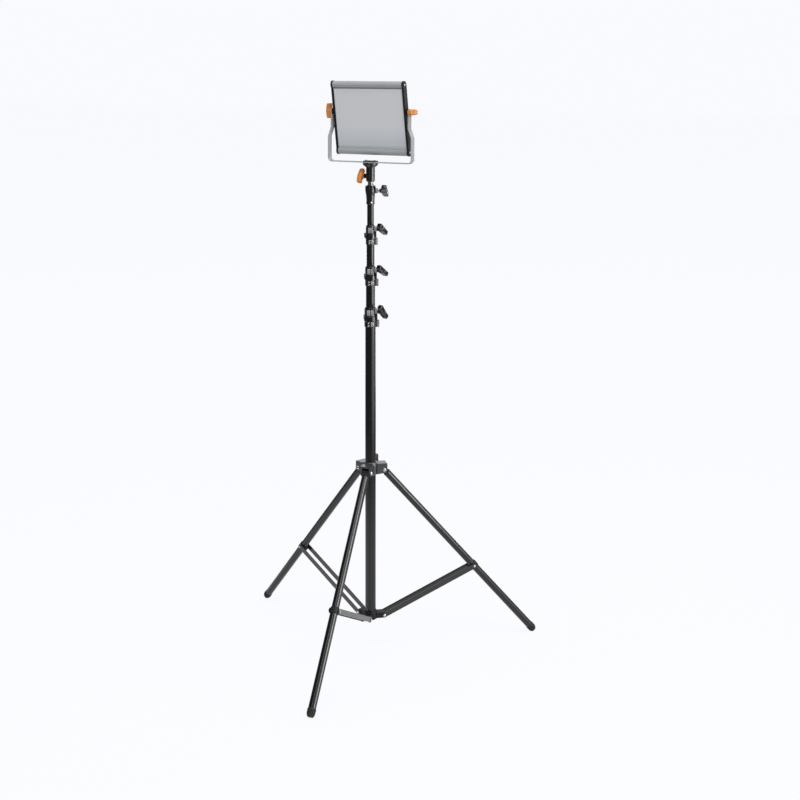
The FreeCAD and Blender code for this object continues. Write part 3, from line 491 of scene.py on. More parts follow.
def skin(rings):
    """Points and faces of a closed skin over rings of equal length, capped at both ends."""
    count = len(rings[0])
    points = [p for ring in rings for p in ring]
    faces = []
    for row in range(len(rings) - 1):
        for i in range(count):
            j = (i + 1) % count
            a, b = row * count, (row + 1) * count
            faces.append((a + i, a + j, b + j, b + i))
    for end in (0, len(rings) - 1):
        centre = sum(rings[end], Vector()) / count
        if max((p - centre).length for p in rings[end]) > 1e-7:
            points.append(centre)
            base = end * count
            faces += [(base + i, base + (i + 1) % count, len(points) - 1) for i in range(count)]
    return points, faces


def circle(place, x, radius, segments):
    """A ring of points round the X axis of a place matrix."""
    angles = [2 * math.pi * i / segments for i in range(segments)]
    return [place @ Vector((x, radius * math.sin(a), radius * math.cos(a))) for a in angles]


def turned(name, outline, place, finish, body, segments=64):
    """An (x, radius) outline turned about the X axis of a place matrix."""
    rings = [circle(place, x, radius, segments) for x, radius in outline]
    return piece(name, *skin(rings), finish, body)


def merged(name, parts, finish, body, crease=35.0):
    """Several (points, faces) sets as one piece."""
    points, faces = [], []
    for part_points, part_faces in parts:
        start = len(points)
        points += list(part_points)
        faces += [tuple(start + i for i in face) for face in part_faces]
    return piece(name, points, faces, finish, body, crease)


def dome(place, radius, height, segments=40, rows=8):
    """A low domed rivet head standing on the YZ plane of a place matrix."""
    rings = []
    for row in range(rows + 1):
        angle = math.pi / 2 * row / rows
        rings.append(circle(place, height * math.sin(angle), radius * math.cos(angle), segments))
    return skin(rings)


def rivet(name, places, radius, height, finish, body):
    return merged(name, [dome(place, radius, height) for place in places], finish, body, 60)


def block(place, x, y, z, bevel, segments=3):
    """A box with rounded edges, from (low, high) pairs, in a place matrix."""
    shape = bmesh.new()
    bmesh.ops.create_cube(shape, size=1.0)
    centre = Vector([(pair[0] + pair[1]) / 2 for pair in (x, y, z)])
    size = [pair[1] - pair[0] for pair in (x, y, z)]
    for v in shape.verts:
        v.co = centre + Vector([v.co[i] * size[i] for i in range(3)])
    bmesh.ops.bevel(
        shape, geom=shape.edges[:], offset=bevel, segments=segments, affect="EDGES", profile=0.5
    )
    shape.verts.ensure_lookup_table()
    shape.verts.index_update()
    points = [place @ v.co for v in shape.verts]
    faces = [tuple(v.index for v in face.verts) for face in shape.faces]
    shape.free()
    return points, faces


def thread(place, start, end, major, pitch, segments=32, steps=6):
    """A threaded rod along X of a place matrix: one helical ridge per pitch."""
    rows = max(2, int(round((end - start) / pitch * steps)))
    depth = 0.6 * pitch
    rings = []
    for row in range(rows + 1):
        x = start + (end - start) * row / rows
        ring = []
        for i in range(segments):
            turn = i / segments
            phase = (x / pitch - turn) % 1.0
            radius = major - depth * abs(2 * phase - 1)
            angle = 2 * math.pi * turn
            ring.append(place @ Vector((x, radius * math.sin(angle), radius * math.cos(angle))))
        rings.append(ring)
    return skin(rings)


# ---------------------------------------------------------------- knobs
STUD_RADIUS = 2.95 * MM
STUD_PITCH = 1 * MM


def wing_radius(angle, hub, reach, half, square):
    """Distance from the axis to the outline of a round hub with two wings. The larger square is,
    the squarer are the wings' ends."""
    hub, reach, half = max(hub, 1e-5), max(reach, 2e-5), max(half, 1e-5)
    across = (abs(math.cos(angle)) / reach) ** square + (abs(math.sin(angle)) / half) ** square
    wing = across ** (-1 / square)
    blend = 7
    return (hub**blend + wing**blend) ** (1 / blend)


def wing_angle(step, segments):
    """Angles round a knob, closer together at the wings' ends."""
    turn = 2 * math.pi * step / segments
    crowding = 0.38
    return turn - crowding * math.sin(2 * turn)


def winged_body(place, rows, top, hub, reach, half, sweep, square, segments=160):
    """A moulded knob. rows are (x, inset) for the wings' side, or (x, inset, radius) where the
    outline is a plain circle; top(r) is the height of the outer face at radius r. sweep is how far
    the wings' inner and outer faces move outward towards the tips."""
    inner_sweep, outer_sweep = sweep
    long = rows[-1][0]

    def moved(x, r):
        lean = inner_sweep + (outer_sweep - inner_sweep) * x / long
        return x + lean * (max(r - hub, 0.0) / reach) ** 1.3

    rings = []
    for row in rows:
        x, inset = row[0], row[1]
        ring = []
        for i in range(segments):
            angle = wing_angle(i, segments)
            if len(row) == 3:
                r = row[2]
            else:
                r = wing_radius(angle, hub - inset, reach - inset, half - inset, square)
            ring.append(Vector((moved(x, r), r * math.sin(angle), r * math.cos(angle))))
        rings.append(ring)
    last = rings[-1]
    for share in (0.9, 0.78, 0.64, 0.5, 0.37, 0.25, 0.13, 0.05):
        ring = []
        for p in last:
            y, z = p.y * share, p.z * share
            r = math.hypot(y, z)
            ring.append(Vector((moved(top(r), r), y, z)))
        rings.append(ring)
    return skin([[place @ p for p in ring] for ring in rings])


def orange_knob(node):
    """A butterfly knob with a dished hub, a flange, grip ribs and a moulded-in steel stud."""
    place = knob_frame(node)
    long, hub, reach, half = 17 * MM, 8.4 * MM, 22.4 * MM, 7.6 * MM
    base = place @ Matrix.Translation((-long, 0, 0))

    def top(r):
        dish = 4.2 * MM * max(0.0, 1 - (r / (10.5 * MM)) ** 2) ** 1.5
        return long - dish

    rows = [
        mm(0.0, 0, 7.6), mm(0.25, 0, 8.3), mm(0.6, 0, 8.5), mm(2.2, 0, 8.5), mm(2.6, 0, 8.3),
        mm(2.75, 0.9), mm(3.1, 0.35), mm(3.8, 0.0), mm(9, 0.1), mm(14.6, 0.25), mm(15.9, 0.55),
        mm(16.7, 1.15), (long, 2.0 * MM),
    ]
    body = winged_body(base, rows, top, hub, reach, half, sweep=(0.0, -4.0 * MM), square=7.0)
    ribs = []
    for side in (-1, 1):
        for wing in (-1, 1):
            for step in range(4):
                z = wing * (11.0 + 2.2 * step) * MM
                rib_side = sorted(mm(side * 6.6, side * 7.9))
                rib_width = (z - 0.55 * MM, z + 0.55 * MM)
                ribs.append(block(base, mm(4.2, 9.6), rib_side, rib_width, 0.4 * MM, 2))
    shape = merged(node + "_moulding", [body] + ribs, "orange_plastic", BODY_OF[node])
    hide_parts(node)
    start = inner_end(node, place) + long
    stud = [thread(base, start, 1 * MM, STUD_RADIUS, STUD_PITCH)]
    merged(node + "_stud", stud, "bright_steel", BODY_OF[node], 20)
    insert = [mm(11.6, 0), mm(11.6, 3.1), mm(13.0, 3.1), mm(13.3, 2.7), mm(13.3, 0)]
    turned(node + "_insert", insert, base, "zinc_steel", BODY_OF[node], 48)


def black_knob(node):
    """A swept-wing T-knob on a collared hub, with its stud and a domed cap."""
    place = knob_frame(node)
    long, hub, reach, half = 24.0 * MM, 7.2 * MM, 24.9 * MM, 7.2 * MM
    inner_sweep, outer_sweep = 8.0 * MM, 1.5 * MM
    base = place @ Matrix.Translation((-long, 0, 0))
    outer = long - outer_sweep * ((reach - hub) / reach) ** 1.3

    def top(r):
        return outer - 1.6 * MM * max(0.0, 1 - (r / (8 * MM)) ** 2)

    rows = [
        mm(0.0, 0, 5.6), mm(0.3, 0, 6.2), mm(1.0, 0, 6.5), mm(2.6, 0, 6.6), mm(3.0, 0, 6.1),
        mm(3.6, 0, 6.0), mm(4.0, 0, 6.4), mm(5.2, 1.9), mm(6.0, 0.8), mm(7.4, 0.1),
        (outer - 5 * MM, 0.0), (outer - 2.6 * MM, 0.25 * MM), (outer - 1.2 * MM, 0.8 * MM),
        (outer - 0.3 * MM, 1.7 * MM), (outer, 2.5 * MM),
    ]
    sweep = (inner_sweep, outer_sweep)
    body = winged_body(base, rows, top, hub, reach, half, sweep, square=8.0)
    shape = merged(node + "_moulding", [body], "black_gloss", BODY_OF[node])
    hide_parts(node)
    start = inner_end(node, place) + long
    stud = [thread(base, start, 1 * MM, STUD_RADIUS, STUD_PITCH)]
    merged(node + "_stud", stud, "bright_steel", BODY_OF[node], 20)
    cap_at = outer - 1.4 * MM
    cap = [
        (cap_at - MM, 0.0), (cap_at - MM, 3.4 * MM), (cap_at + 0.7 * MM, 3.4 * MM),
        (cap_at + 1.2 * MM, 2.4 * MM), (cap_at + 1.35 * MM, 0.0),
    ]
    turned(node + "_cap", cap, base, "black_plastic", BODY_OF[node], 48)


def make_knobs():
    for node in ("mount_knob", "tilt_knob_left", "tilt_knob_right"):
        orange_knob(node)
    for node in ("section_knob_1", "section_knob_2", "section_knob_3", "head_knob", "leg_collar_knob"):
        black_knob(node)


# ---------------------------------------------------------------- stand details
def common_radius(node, height):
    """The radius that most vertices of a node round the column have near a height."""
    radii = [
        round(math.hypot(p.x, p.y) / MM, 1) for p in points_of(node) if abs(p.z - height) < 0.4 * MM
    ]
    return max(sorted(set(radii)), key=radii.count) * MM


def spoke(height, azimuth, radius):
    """A frame on a round part of the column: X outward along an azimuth, Z up."""
    outward = Vector((math.cos(azimuth), math.sin(azimuth), 0))
    return axis_frame(Vector((0, 0, height)) + outward * radius, outward, Z)


def curved_pad(azimuths, radius, thick, low, high, steps=16):
    """A thin pad on a round collar, between two azimuths and two heights, with eased edges."""
    ease = min(0.5 * thick, 0.4 * MM)
    rings = []
    for step in range(steps + 1):
        share = step / steps
        azimuth = azimuths[0] + (azimuths[1] - azimuths[0]) * share
        shrink = 1.0 if 0 < step < steps else 0.0
        outer = radius + thick - ease * (1 - shrink)
        profile = [(low, radius), (low, outer - ease), (low + ease, outer), (high - ease, outer),
                   (high, outer - ease), (high, radius)]
        rings.append([Vector((r * math.cos(azimuth), r * math.sin(azimuth), z)) for z, r in profile])
    return skin(rings)


def ferrule(node, knob, root):
    """The tapered metal sleeve between a casting's boss and its T-knob. root is the radius of the
    casting that it stands on."""
    joint = JOINTS[knob + "_turn"]
    axis = Vector(joint["axis"]).normalized()
    height = joint["pos_m"][2]
    place = axis_frame((0, 0, height), axis, Z)
    start, end = root + 2.6 * MM, root + 8.6 * MM
    outline = [
        (start, 0.0), (start, 7.9 * MM), (start + 0.4 * MM, 8.2 * MM), (start + 2.6 * MM, 7.4 * MM),
        (start + 2.9 * MM, 6.9 * MM), (start + 3.5 * MM, 6.8 * MM), (start + 3.8 * MM, 6.2 * MM),
        (end - 0.4 * MM, 5.2 * MM), (end, 4.8 * MM), (end, 0.0),
    ]
    turned(knob + "_ferrule", outline, place, "satin_metal", BODY_OF[node])


def collar_highlight_pads(node, knob_azimuth, ring, base, ring_top):
    """Pale metal pads on two sides of a collar's ring, and one on each side of its lower sleeve, set
    either side of the direction that faces the camera; their pale tone is partly painted highlight.
    """
    # front faces the camera; the pale pads round it are real pads and also painted highlight
    front = knob_azimuth - math.radians(57)
    seat, thick = ring - 0.3 * MM, 0.75 * MM
    upper = (base + 34.5 * MM, ring_top - 0.5 * MM)
    lower = (base + 2.5 * MM, base + 15.5 * MM)
    pads = []
    for turn in (0, 180):
        for start, end in ((-36, -3), (3, 36)):
            azimuths = [front + math.radians(turn + angle) for angle in (start, end)]
            pads.append(curved_pad(azimuths, seat, thick, *upper))
            if start > 0:
                pads.append(curved_pad(azimuths, seat, thick, *lower))
    merged(node + "_pads", pads, "satin_metal", BODY_OF[node], 50)


def collar_clip(node, ring, low):
    """A metal cover on the lug of a collar's sleeve, with its screws."""
    body = BODY_OF[node]
    lug = [p for p in points_of(node) if p.z < low + 0.3 * MM]
    across = sum(lug, Vector()) / len(lug)
    outward = Vector((across.x, across.y, 0)).normalized()
    reach = max(p.x * outward.x + p.y * outward.y for p in lug)
    place = axis_frame((0, 0, low), outward, Z)
    depth = (ring + 0.4 * MM, reach + 0.5 * MM)
    cover = block(place, depth, mm(-4.9, 4.9), mm(-0.4, 20.4), 1.1 * MM)
    merged(node + "_clip", [cover], "satin_metal", body)
    face = place @ Matrix.Translation((reach + 0.3 * MM, 0, 10 * MM))
    screws = [cross_head(face, 3.0 * MM, 1.1 * MM)]
    for side in (-1, 1):
        for z in mm(5.5, 14.5):
            at = place @ Vector(((ring + reach) / 2 + 1.2 * MM, side * 4.75 * MM, z))
            screws.append(dome(axis_frame(at, place.col[1].to_3d() * side), 1.9 * MM, 0.45 * MM))
    merged(node + "_clip_screws", screws, "dark_chrome", body, 40)


def collar_rivets(node, knob_azimuth, ring, base):
    """Two rivets, one above the other, on each side of a collar's lower sleeve."""
    rivets = []
    for up in mm(5.0, 12.5):
        for turn in (-77, 103):
            azimuth = knob_azimuth + math.radians(turn)
            rivets.append(dome(spoke(base + up, azimuth, ring - 0.2 * MM), 2.7 * MM, 1.1 * MM))
    merged(node + "_rivets", rivets, "zinc_steel", BODY_OF[node], 60)


def collar_details(number):
    """What a section collar carries: pale pads that are partly painted highlight, its knob's ferrule, a
    clip and rivets.
    """
    node, knob = f"section_collar_{number}", f"section_knob_{number}"
    low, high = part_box(node)
    base = low.z + 1.0 * MM
    ring_top = high.z - 6 * MM
    ring = common_radius(node, ring_top)
    axis = JOINTS[knob + "_turn"]["axis"]
    knob_azimuth = math.atan2(axis[1], axis[0])
    collar_highlight_pads(node, knob_azimuth, ring, base, ring_top)
    ferrule(node, knob, ring)
    collar_clip(node, ring, low.z)
    collar_rivets(node, knob_azimuth, ring, base)


def head_details():
    """The head's ferrule and the two ends of its cross rivet."""
    body = BODY_OF["stand_head"]
    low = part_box("stand_head")[0]
    boss_end = 14.9 * MM
    ferrule("stand_head", "head_knob", boss_end)
    foot = common_radius("stand_head", low.z)
    rivet_azimuth = math.radians(-52)
    rivets = []
    for turn in (0, math.pi):
        place = spoke(low.z + 5.5 * MM, rivet_azimuth + turn, foot + 0.2 * MM)
        rivets.append(dome(place, 2.7 * MM, 1.5 * MM))
    merged("stand_head_rivets", rivets, "bright_steel", body, 60)


def socket_details():
    """The washer between the light's socket and its lock knob."""
    body = BODY_OF["mount_socket"]
    joint = JOINTS["mount_knob_turn"]
    height = joint["pos_m"][2]
    axis = Vector(joint["axis"]).normalized()
    place = axis_frame((0, 0, height), axis, Z)
    start = 19.5 * MM                  # the knob side of the socket's boss
    washer = [
        (start - 0.3 * MM, 0.0), (start - 0.3 * MM, 6.6 * MM), (start + 0.2 * MM, 6.9 * MM),
        (start + 1.2 * MM, 6.9 * MM), (start + 1.5 * MM, 6.5 * MM), (start + 1.5 * MM, 0.0),
    ]
    turned("mount_socket_washer", washer, place, "zinc_steel", body)


def axis_ends(node, anchor, axis, radius):
    """Frames on both ends of a pin: the node's extent along the axis, near the axis."""
    anchor, axis = Vector(anchor), Vector(axis).normalized()
    along = [
        (p - anchor).dot(axis) for p in points_of(node) if (p - anchor).cross(axis).length < radius
    ]
    ends = ((min(along), -1), (max(along), 1))
    return [axis_frame(anchor + axis * end, axis * side) for end, side in ends]


def tripod_rivets():
    """Domed rivet heads on the leg pins, on the spider pins and where braces meet legs."""
    for number in (1, 2, 3):
        leg, brace = JOINTS[f"leg_{number}_fold"], JOINTS[f"brace_{number}_fold"]
        reach = 6 * MM
        heads = axis_ends("leg_pins", leg["pos_m"], leg["axis"], reach)
        rivet(f"leg_{number}_pin_heads", heads, 3.4 * MM, 1.2 * MM, "zinc_steel", BODY_OF["leg_pins"])
        node = f"brace_{number}"
        near = axis_ends(node, brace["pos_m"], brace["axis"], reach)
        rivet(f"{node}_pin_heads", near, 3.6 * MM, 1.2 * MM, "bright_steel", BODY_OF[node])
        anchor, axis = Vector(brace["pos_m"]), Vector(brace["axis"]).normalized()
        flat = [p - axis * (p - anchor).dot(axis) for p in points_of(node)]
        tip = max(flat, key=lambda p: (p - anchor).length)
        bar_end = 7 * MM
        far = tip - (tip - anchor).normalized() * bar_end
        ends = axis_ends(node, far, axis, reach)
        rivet(f"{node}_leg_rivets", ends, 3.4 * MM, 1.1 * MM, "zinc_steel", BODY_OF[node])


def foot_rings(number):
    """Grip rings moulded round a rubber foot, and the bead where it meets the leg's tube."""
    node = f"foot_{number}"
    joint = JOINTS[f"leg_{number}_fold"]
    pivot = Vector(joint["pos_m"])
    axis = middle(f"leg_{number}_tube") - pivot
    side = Vector(joint["axis"]).normalized()
    axis = (axis - side * axis.dot(side)).normalized()
    place = axis_frame(pivot, axis, side)
    end = max((p - pivot).dot(axis) for p in points_of(f"leg_{number}_tube"))
    radius = 11.3 * MM
    outline = [
        (end - 4 * MM, radius - 1.2 * MM), (end - 4 * MM, radius + 0.15 * MM),
        (end - 3.5 * MM, radius + 0.5 * MM), (end + 0.4 * MM, radius + 0.5 * MM),
        (end + 0.9 * MM, radius),
    ]
    for step in range(3):
        x = end + (2.0 + 2.2 * step) * MM
        outline += [(x, radius), (x + 0.4 * MM, radius + 0.4 * MM), (x + 1.0 * MM, radius + 0.4 * MM)]
        outline += [(x + 1.4 * MM, radius)]
    outline += [(end + 8.4 * MM, radius - 1.2 * MM)]
    turned(node + "_rings", outline, place, "black_rubber", BODY_OF[node], 72)


# ---------------------------------------------------------------- panel details
def panel_place():
    """The panel's upright frame: origin at the tilt axis, X to the side, Y to the rear, Z up."""
    points = points_of("led_board")
    top = max(p.z for p in points)
    bottom = min(p.z for p in points)
    upper = [p for p in points if p.z > top - MM]
    lower = [p for p in points if p.z < bottom + MM]
    up = (sum(upper, Vector()) / len(upper) - sum(lower, Vector()) / len(lower)).normalized()
    up.x = 0.0
    back = up.cross(X).normalized()
    turn = Matrix((X, back, up)).transposed().to_4x4()
    return Matrix.Translation(JOINTS["tilt"]["pos_m"]) @ turn


def panel_box(node, place):
    """Lowest and highest corner of a node in the panel's upright frame."""
    back = place.inverted()
    points = [back @ p for p in points_of(node)]
    low = Vector([min(p[i] for p in points) for i in range(3)])
    high = Vector([max(p[i] for p in points) for i in range(3)])
    return low, high


def cross_head(place, radius, height, segments=96):
    """A pan head with a cross recess, standing on the YZ plane of a place matrix."""
    blade, depth, reach = 0.16 * radius, 0.75 * height, 0.62 * radius
    shares = [1.0, 1.0, 0.97, 0.9, 0.8, 0.7, 0.64, 0.6, 0.5, 0.42, 0.36, 0.3, 0.24, 0.18, 0.12, 0.05]
    rings = []
    for row, share in enumerate(shares):
        r = radius * share
        ring = []
        for i in range(segments):
            angle = 2 * math.pi * i / segments
            y, z = r * math.sin(angle), r * math.cos(angle)
            x = 0.0 if row == 0 else height * (0.55 + 0.45 * math.sqrt(max(0.0, 1 - share**2)))
            if r < reach and min(abs(y), abs(z)) < blade:
                x -= depth
            ring.append(place @ Vector((x, y, z)))
        rings.append(ring)
    return skin(rings)


def clusters(points, size):
    """Groups of points that lie within size of each other's first point."""
    groups = []
    for p in points:
        for group in groups:
            if (group[0] - p).length < size:
                group.append(p)
                break
        else:
            groups.append([p])
    return groups


def panel_screw_heads(place):
    """Cross-recessed pan heads in place of the CAD screws' plain cones."""
    back = place.inverted()
    heads = []
    body = BODY_OF["panel_screws"]
    for group in clusters([back @ p for p in points_of("panel_screws")], 12 * MM):
        low = Vector([min(p[i] for p in group) for i in range(3)])
        high = Vector([max(p[i] for p in group) for i in range(3)])
        centre = (low + high) / 2
        on_end_cap = abs(centre.x) > 100 * MM
        if on_end_cap:
            side = math.copysign(1, centre.x)
            seat = Vector((side * (max(abs(low.x), abs(high.x)) - 1.6 * MM), centre.y, centre.z))
            heads.append(cross_head(place @ axis_frame(seat, X * side), 3.3 * MM, 1.7 * MM))
        else:
            seat = Vector((centre.x, high.y - 1.2 * MM, centre.z))
            heads.append(cross_head(place @ axis_frame(seat, Y), 2.9 * MM, 1.4 * MM))
    shape = merged("panel_screw_heads", heads, "zinc_steel", body, 30)
    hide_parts("panel_screws")


def front_trims(place):
    """The seam over the diffuser, the sill under it and the thin lips at its sides."""
    low, high = panel_box("diffuser", place)
    body = BODY_OF["diffuser"]
    front = low.y
    wide = (low.x, high.x)
    depth = (front - 0.9 * MM, front + 1.5 * MM)
    seam = block(place, wide, depth, (high.z - 1.3 * MM, high.z + 0.1 * MM), 0.3 * MM)
    merged("diffuser_seam", [seam], "satin_metal", body)
    depth = (front - 0.15 * MM, front + 1.8 * MM)
    sill = block(place, wide, depth, (low.z - 3.0 * MM, low.z + 0.6 * MM), 0.1 * MM)
    # the sill wears the opal finish at its darkest, the painted shade of the sheet's lower edge
    merged("diffuser_sill", [sill], "opal", body)
    lips = []
    depth = (front - 0.8 * MM, front + 1.2 * MM)
    for x in wide:
        inward = -math.copysign(1, x)
        across = sorted((x, x + inward * 1.6 * MM))
        lips.append(block(place, across, depth, (low.z, high.z - 1.4 * MM), 0.3 * MM))
    merged("diffuser_lips", lips, "black_plastic", body)


def battery_contacts(place, face):
    """Three brass contacts at the top of each battery plate."""
    low, high = panel_box("battery_plates", place)
    height = (high.z - 8.6 * MM, high.z - 2.6 * MM)
    contacts = []
    for side in (-1, 1):
        x = side * (abs(low.x) + abs(high.x)) / 2 - side * 20 * MM
        for step in (-1, 0, 1):
            centre = x + step * 5.2 * MM
            wide = (centre - 1.1 * MM, centre + 1.1 * MM)
            depth = (face + 3.5 * MM, face + 5.5 * MM)
            contacts.append(block(place, wide, depth, height, 0.35 * MM))
    merged("battery_contacts", contacts, "brass_contact", BODY_OF["battery_plates"])


def dial_marks(place, face):
    """A pointer on each dial, and a scale printed round it on the cover."""
    marks = []
    for dial in ("brightness_dial", "colour_dial"):
        low, high = panel_box(dial, place)
        z = (low.z + high.z) / 2
        radius = (high.x - low.x) / 2
        depth = (high.y - 0.25 * MM, high.y + 0.12 * MM)
        height = (z + 0.35 * radius, z + 0.82 * radius)
        pointer = block(place, mm(-0.5, 0.5), depth, height, 0.1 * MM, 2)
        merged(dial + "_pointer", [pointer], "white_ink", BODY_OF[dial])
        for step in range(9):
            angle = math.radians(-140 + 35 * step)
            turn = place @ Matrix.Translation((0, face, z)) @ Matrix.Rotation(angle, 4, "Y")
            long = 2.2 * MM if step % 4 == 0 else 1.4 * MM
            start = radius + 1.2 * MM
            marks.append(block(
                turn, mm(-0.22, 0.22), mm(-0.1, 0.06), (start, start + long), 0.04 * MM, 1
            ))
    merged("dial_scales", marks, "white_ink", BODY_OF["rear_cover"])


def display_bezel(place, face):
    """A raised frame round the display window."""
    low, high = panel_box("display_window", place)
    wide = 1.6 * MM
    depth = (face - 0.5 * MM, face + 0.7 * MM)
    bars = []
    for height in ((low.z - wide, low.z), (high.z, high.z + wide)):
        bars.append(block(place, (low.x - wide, high.x + wide), depth, height, 0.3 * MM))
    for across in ((low.x - wide, low.x), (high.x, high.x + wide)):
        bars.append(block(place, across, depth, (low.z, high.z), 0.3 * MM))
    merged("display_bezel", bars, "black_gloss", BODY_OF["rear_cover"])


def make_details():
    for number in (1, 2, 3):
        collar_details(number)
        foot_rings(number)
    head_details()
    socket_details()
    tripod_rivets()
    place = panel_place()
    panel_screw_heads(place)
    front_trims(place)
    face = panel_box("rear_cover", place)[1].y
    battery_contacts(place, face)
    dial_marks(place, face)
    display_bezel(place, face)


# ---------------------------------------------------------------- CAD nodes shown as they are
OWN_FINISH = {
    "spigot": "dark_chrome", "bracket_bolts": "dark_chrome", "bracket_plate": "black_plastic",
    "leg_collar": "cast_grey", "brace_1": "brace_black", "brace_2": "brace_black", "brace_3": "brace_black",
}


def dress_cad_nodes():
    for node, obj in NODES.items():
        obj.data.materials.clear()
        obj.data.materials.append(FINISH[OWN_FINISH.get(node, SLOT_OF[node])])


# ---------------------------------------------------------------- stage, light and camera
def area_light(name, place, target, size, power):
    """A rectangular lamp at a place, facing a target."""
    light = bpy.data.lights.new(name, "AREA")
    light.shape = "RECTANGLE"
    light.size, light.size_y = size
    light.energy = power
    obj = bpy.data.objects.new(name, light)
    obj.location = place
    obj.rotation_euler = (Vector(target) - Vector(place)).to_track_quat("-Z", "Y").to_euler()
    bpy.context.scene.collection.objects.link(obj)
    return obj


BACKDROP = rgb(0.948, 0.956, 0.991)
FILL = 0.62                            # the even light on matt surfaces
FLOOR_BOUNCE = 0.42                    # what the floor throws back up
FLOOR_SHADE = 0.07                     # share of the floor's tone that shadows can take away
FLOOR_MIRRORED = (0.9, 2.4, 0.95, 0.06)    # near, far, and how bright each looks in a polished part
BACKDROP_MIRRORED = (0.55, 0.9, 0.05, 1.0)  # the same for directions beside and behind the light
KEY_ON_FLOOR = 0.1                     # what the lamps add far out on the floor


def make_stage():
    """A pale floor. Most of its tone is its own, so that shadows on it stay faint."""
    mesh = bpy.data.meshes.new("floor")
    far = 40.0
    mesh.from_pydata([(-far, -far, 0), (far, -far, 0), (far, far, 0), (-far, far, 0)], [], [(0, 1, 2, 3)])
    floor = bpy.data.objects.new("floor", mesh)
    bpy.context.scene.collection.objects.link(floor)
    tree = Tree("floor")
    shade = tree.noise(1.5, 2)
    tone = FLOOR_SHADE
    darker, lighter = rgb(tone * 0.99, tone * 0.99, tone), rgb(tone * 1.01, tone * 1.01, tone * 1.02)
    tree.set("Base Color", tree.mix(shade, darker, lighter))
    tree.set("Roughness", 0.9)
    tree.set("Specular IOR Level", 0.0)
    tree.set("Normal", tree.bump(tree.noise(2 * MM, 2), 0.02 * MM))
    seen = tree.rays("Is Camera Ray")
    glossy = tree.rays("Is Glossy Ray")
    near = tree.nodes.new("ShaderNodeVectorMath")
    near.operation = "LENGTH"
    tree.link(tree.place, near.inputs[0])
    mirrored = tree.remap(near.outputs["Value"], *FLOOR_MIRRORED)
    unseen = tree.mix_value(glossy, FLOOR_BOUNCE, mirrored)
    own = scaled(BACKDROP, 1 - FLOOR_SHADE * (FILL + KEY_ON_FLOOR) / BACKDROP[0])
    tree.set("Emission Color", tree.mix(seen, unseen, own))
    tree.set("Emission Strength", 1.0)
    mesh.materials.append(tree.material)


def make_world():
    """A pale backdrop for the camera, even fill for matt surfaces, and a dark studio for what
    the glossy surfaces mirror."""
    world = bpy.data.worlds.new("studio")
    world.use_nodes = True
    nodes, links = world.node_tree.nodes, world.node_tree.links
    rays = nodes.new("ShaderNodeLightPath")
    dark = nodes.new("ShaderNodeMix")
    dark.data_type = "RGBA"
    dark.inputs[6].default_value = rgb(FILL, FILL, FILL * 1.02)
    links.new(rays.outputs["Is Glossy Ray"], dark.inputs["Factor"])
    place = nodes.new("ShaderNodeTexCoord")
    ahead = nodes.new("ShaderNodeVectorMath")
    ahead.operation = "DOT_PRODUCT"
    ahead.inputs[1].default_value = (-math.sin(CAMERA_AZIMUTH), math.cos(CAMERA_AZIMUTH), 0)
    links.new(place.outputs["Generated"], ahead.inputs[0])
    mirrored = nodes.new("ShaderNodeMapRange")
    for name, value in zip(("From Min", "From Max", "To Min", "To Max"), BACKDROP_MIRRORED):
        mirrored.inputs[name].default_value = value
    links.new(ahead.outputs["Value"], mirrored.inputs["Value"])
    links.new(mirrored.outputs["Result"], dark.inputs[7])
    seen = nodes.new("ShaderNodeMix")
    seen.data_type = "RGBA"
    seen.inputs[7].default_value = BACKDROP
    links.new(rays.outputs["Is Camera Ray"], seen.inputs["Factor"])
    links.new(dark.outputs[2], seen.inputs[6])
    links.new(seen.outputs[2], nodes["Background"].inputs["Color"])
    bpy.context.scene.world = world


def mirror_box(name, angle, distance, width, low, high, radiance):
    """An upright light that only glossy surfaces see, facing the column."""
    area = width * (high - low)
    centre = around(angle, distance, (low + high) / 2)
    light = area_light(name, centre, (0, 0, centre[2]), (width, high - low), radiance * math.pi * area)
    light.visible_diffuse = False


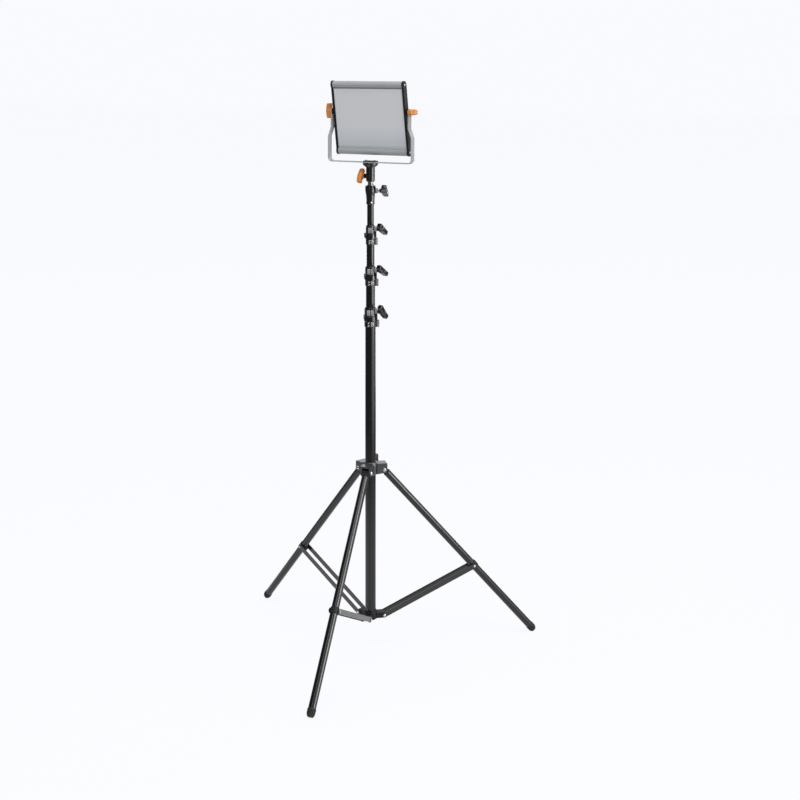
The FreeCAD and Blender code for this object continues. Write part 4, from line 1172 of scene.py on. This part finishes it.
def make_light():
    make_world()
    mirror_box("right box", 64, distance=2.2, width=3.3, low=0.02, high=3.2, radiance=1.6)
    mirror_box("right stripe", 62, distance=2.1, width=0.62, low=0.55, high=3.2, radiance=9.0)
    mirror_box("left card", -24, distance=2.6, width=0.34, low=0.9, high=3.2, radiance=1.2)
    mirror_box("rear stripe", 145, distance=2.4, width=0.5, low=0.2, high=3.2, radiance=4.0)
    mirror_box("rear card", -140, distance=2.6, width=0.3, low=0.2, high=3.2, radiance=2.0)
    area_light("top box", around(10, 2.4, 9.0), target=(0, 0, 1.2), size=(7.6, 5.7), power=345)
    key = area_light("key", around(40, 2.6, 2.6), target=(0, 0, 1.3), size=(1.6, 1.6), power=22)
    key.visible_glossy = False


def around(angle, distance, height):
    """A point round the column, angle degrees to the right of the camera's own direction."""
    azimuth = CAMERA_AZIMUTH + math.radians(angle)
    return (distance * math.sin(azimuth), -distance * math.cos(azimuth), height)


CAMERA_AZIMUTH = math.radians(28.0)    # round the column from the light's front, towards +X
CAMERA_DISTANCE = 4.244
CAMERA_HEIGHT = 1.722
CAMERA_SIDE = 0.0257
LENS = 65.0
SHIFT = (0.0259, -0.4269)


def make_camera():
    """A level camera with a shifted lens. A driver drops the shift when another view moves the
    camera, so that every other view is centred."""
    right = Vector((math.cos(CAMERA_AZIMUTH), math.sin(CAMERA_AZIMUTH), 0))
    ahead = Vector((-math.sin(CAMERA_AZIMUTH), math.cos(CAMERA_AZIMUTH), 0))
    data = bpy.data.cameras.new("camera")
    data.lens = LENS
    data.sensor_width = 36.0           # in millimetres, as the lens
    data.clip_end = 100
    camera = bpy.data.objects.new("camera", data)
    camera.location = right * CAMERA_SIDE - ahead * CAMERA_DISTANCE + Z * CAMERA_HEIGHT
    camera.rotation_euler = ahead.to_track_quat("-Z", "Y").to_euler()
    bpy.context.scene.collection.objects.link(camera)
    bpy.context.scene.camera = camera
    for path, value in (("shift_x", SHIFT[0]), ("shift_y", SHIFT[1])):
        driver = data.driver_add(path).driver
        height = driver.variables.new()
        height.name = "height"
        height.type = "TRANSFORMS"
        height.targets[0].id = camera
        height.targets[0].transform_type = "LOC_Z"
        driver.expression = f"{value} if abs(height - {CAMERA_HEIGHT}) < 0.0005 else 0.0"


dress_cad_nodes()
make_knobs()
make_details()
make_stage()
make_light()
make_camera()
bpy.context.scene.view_settings.view_transform = "Standard"
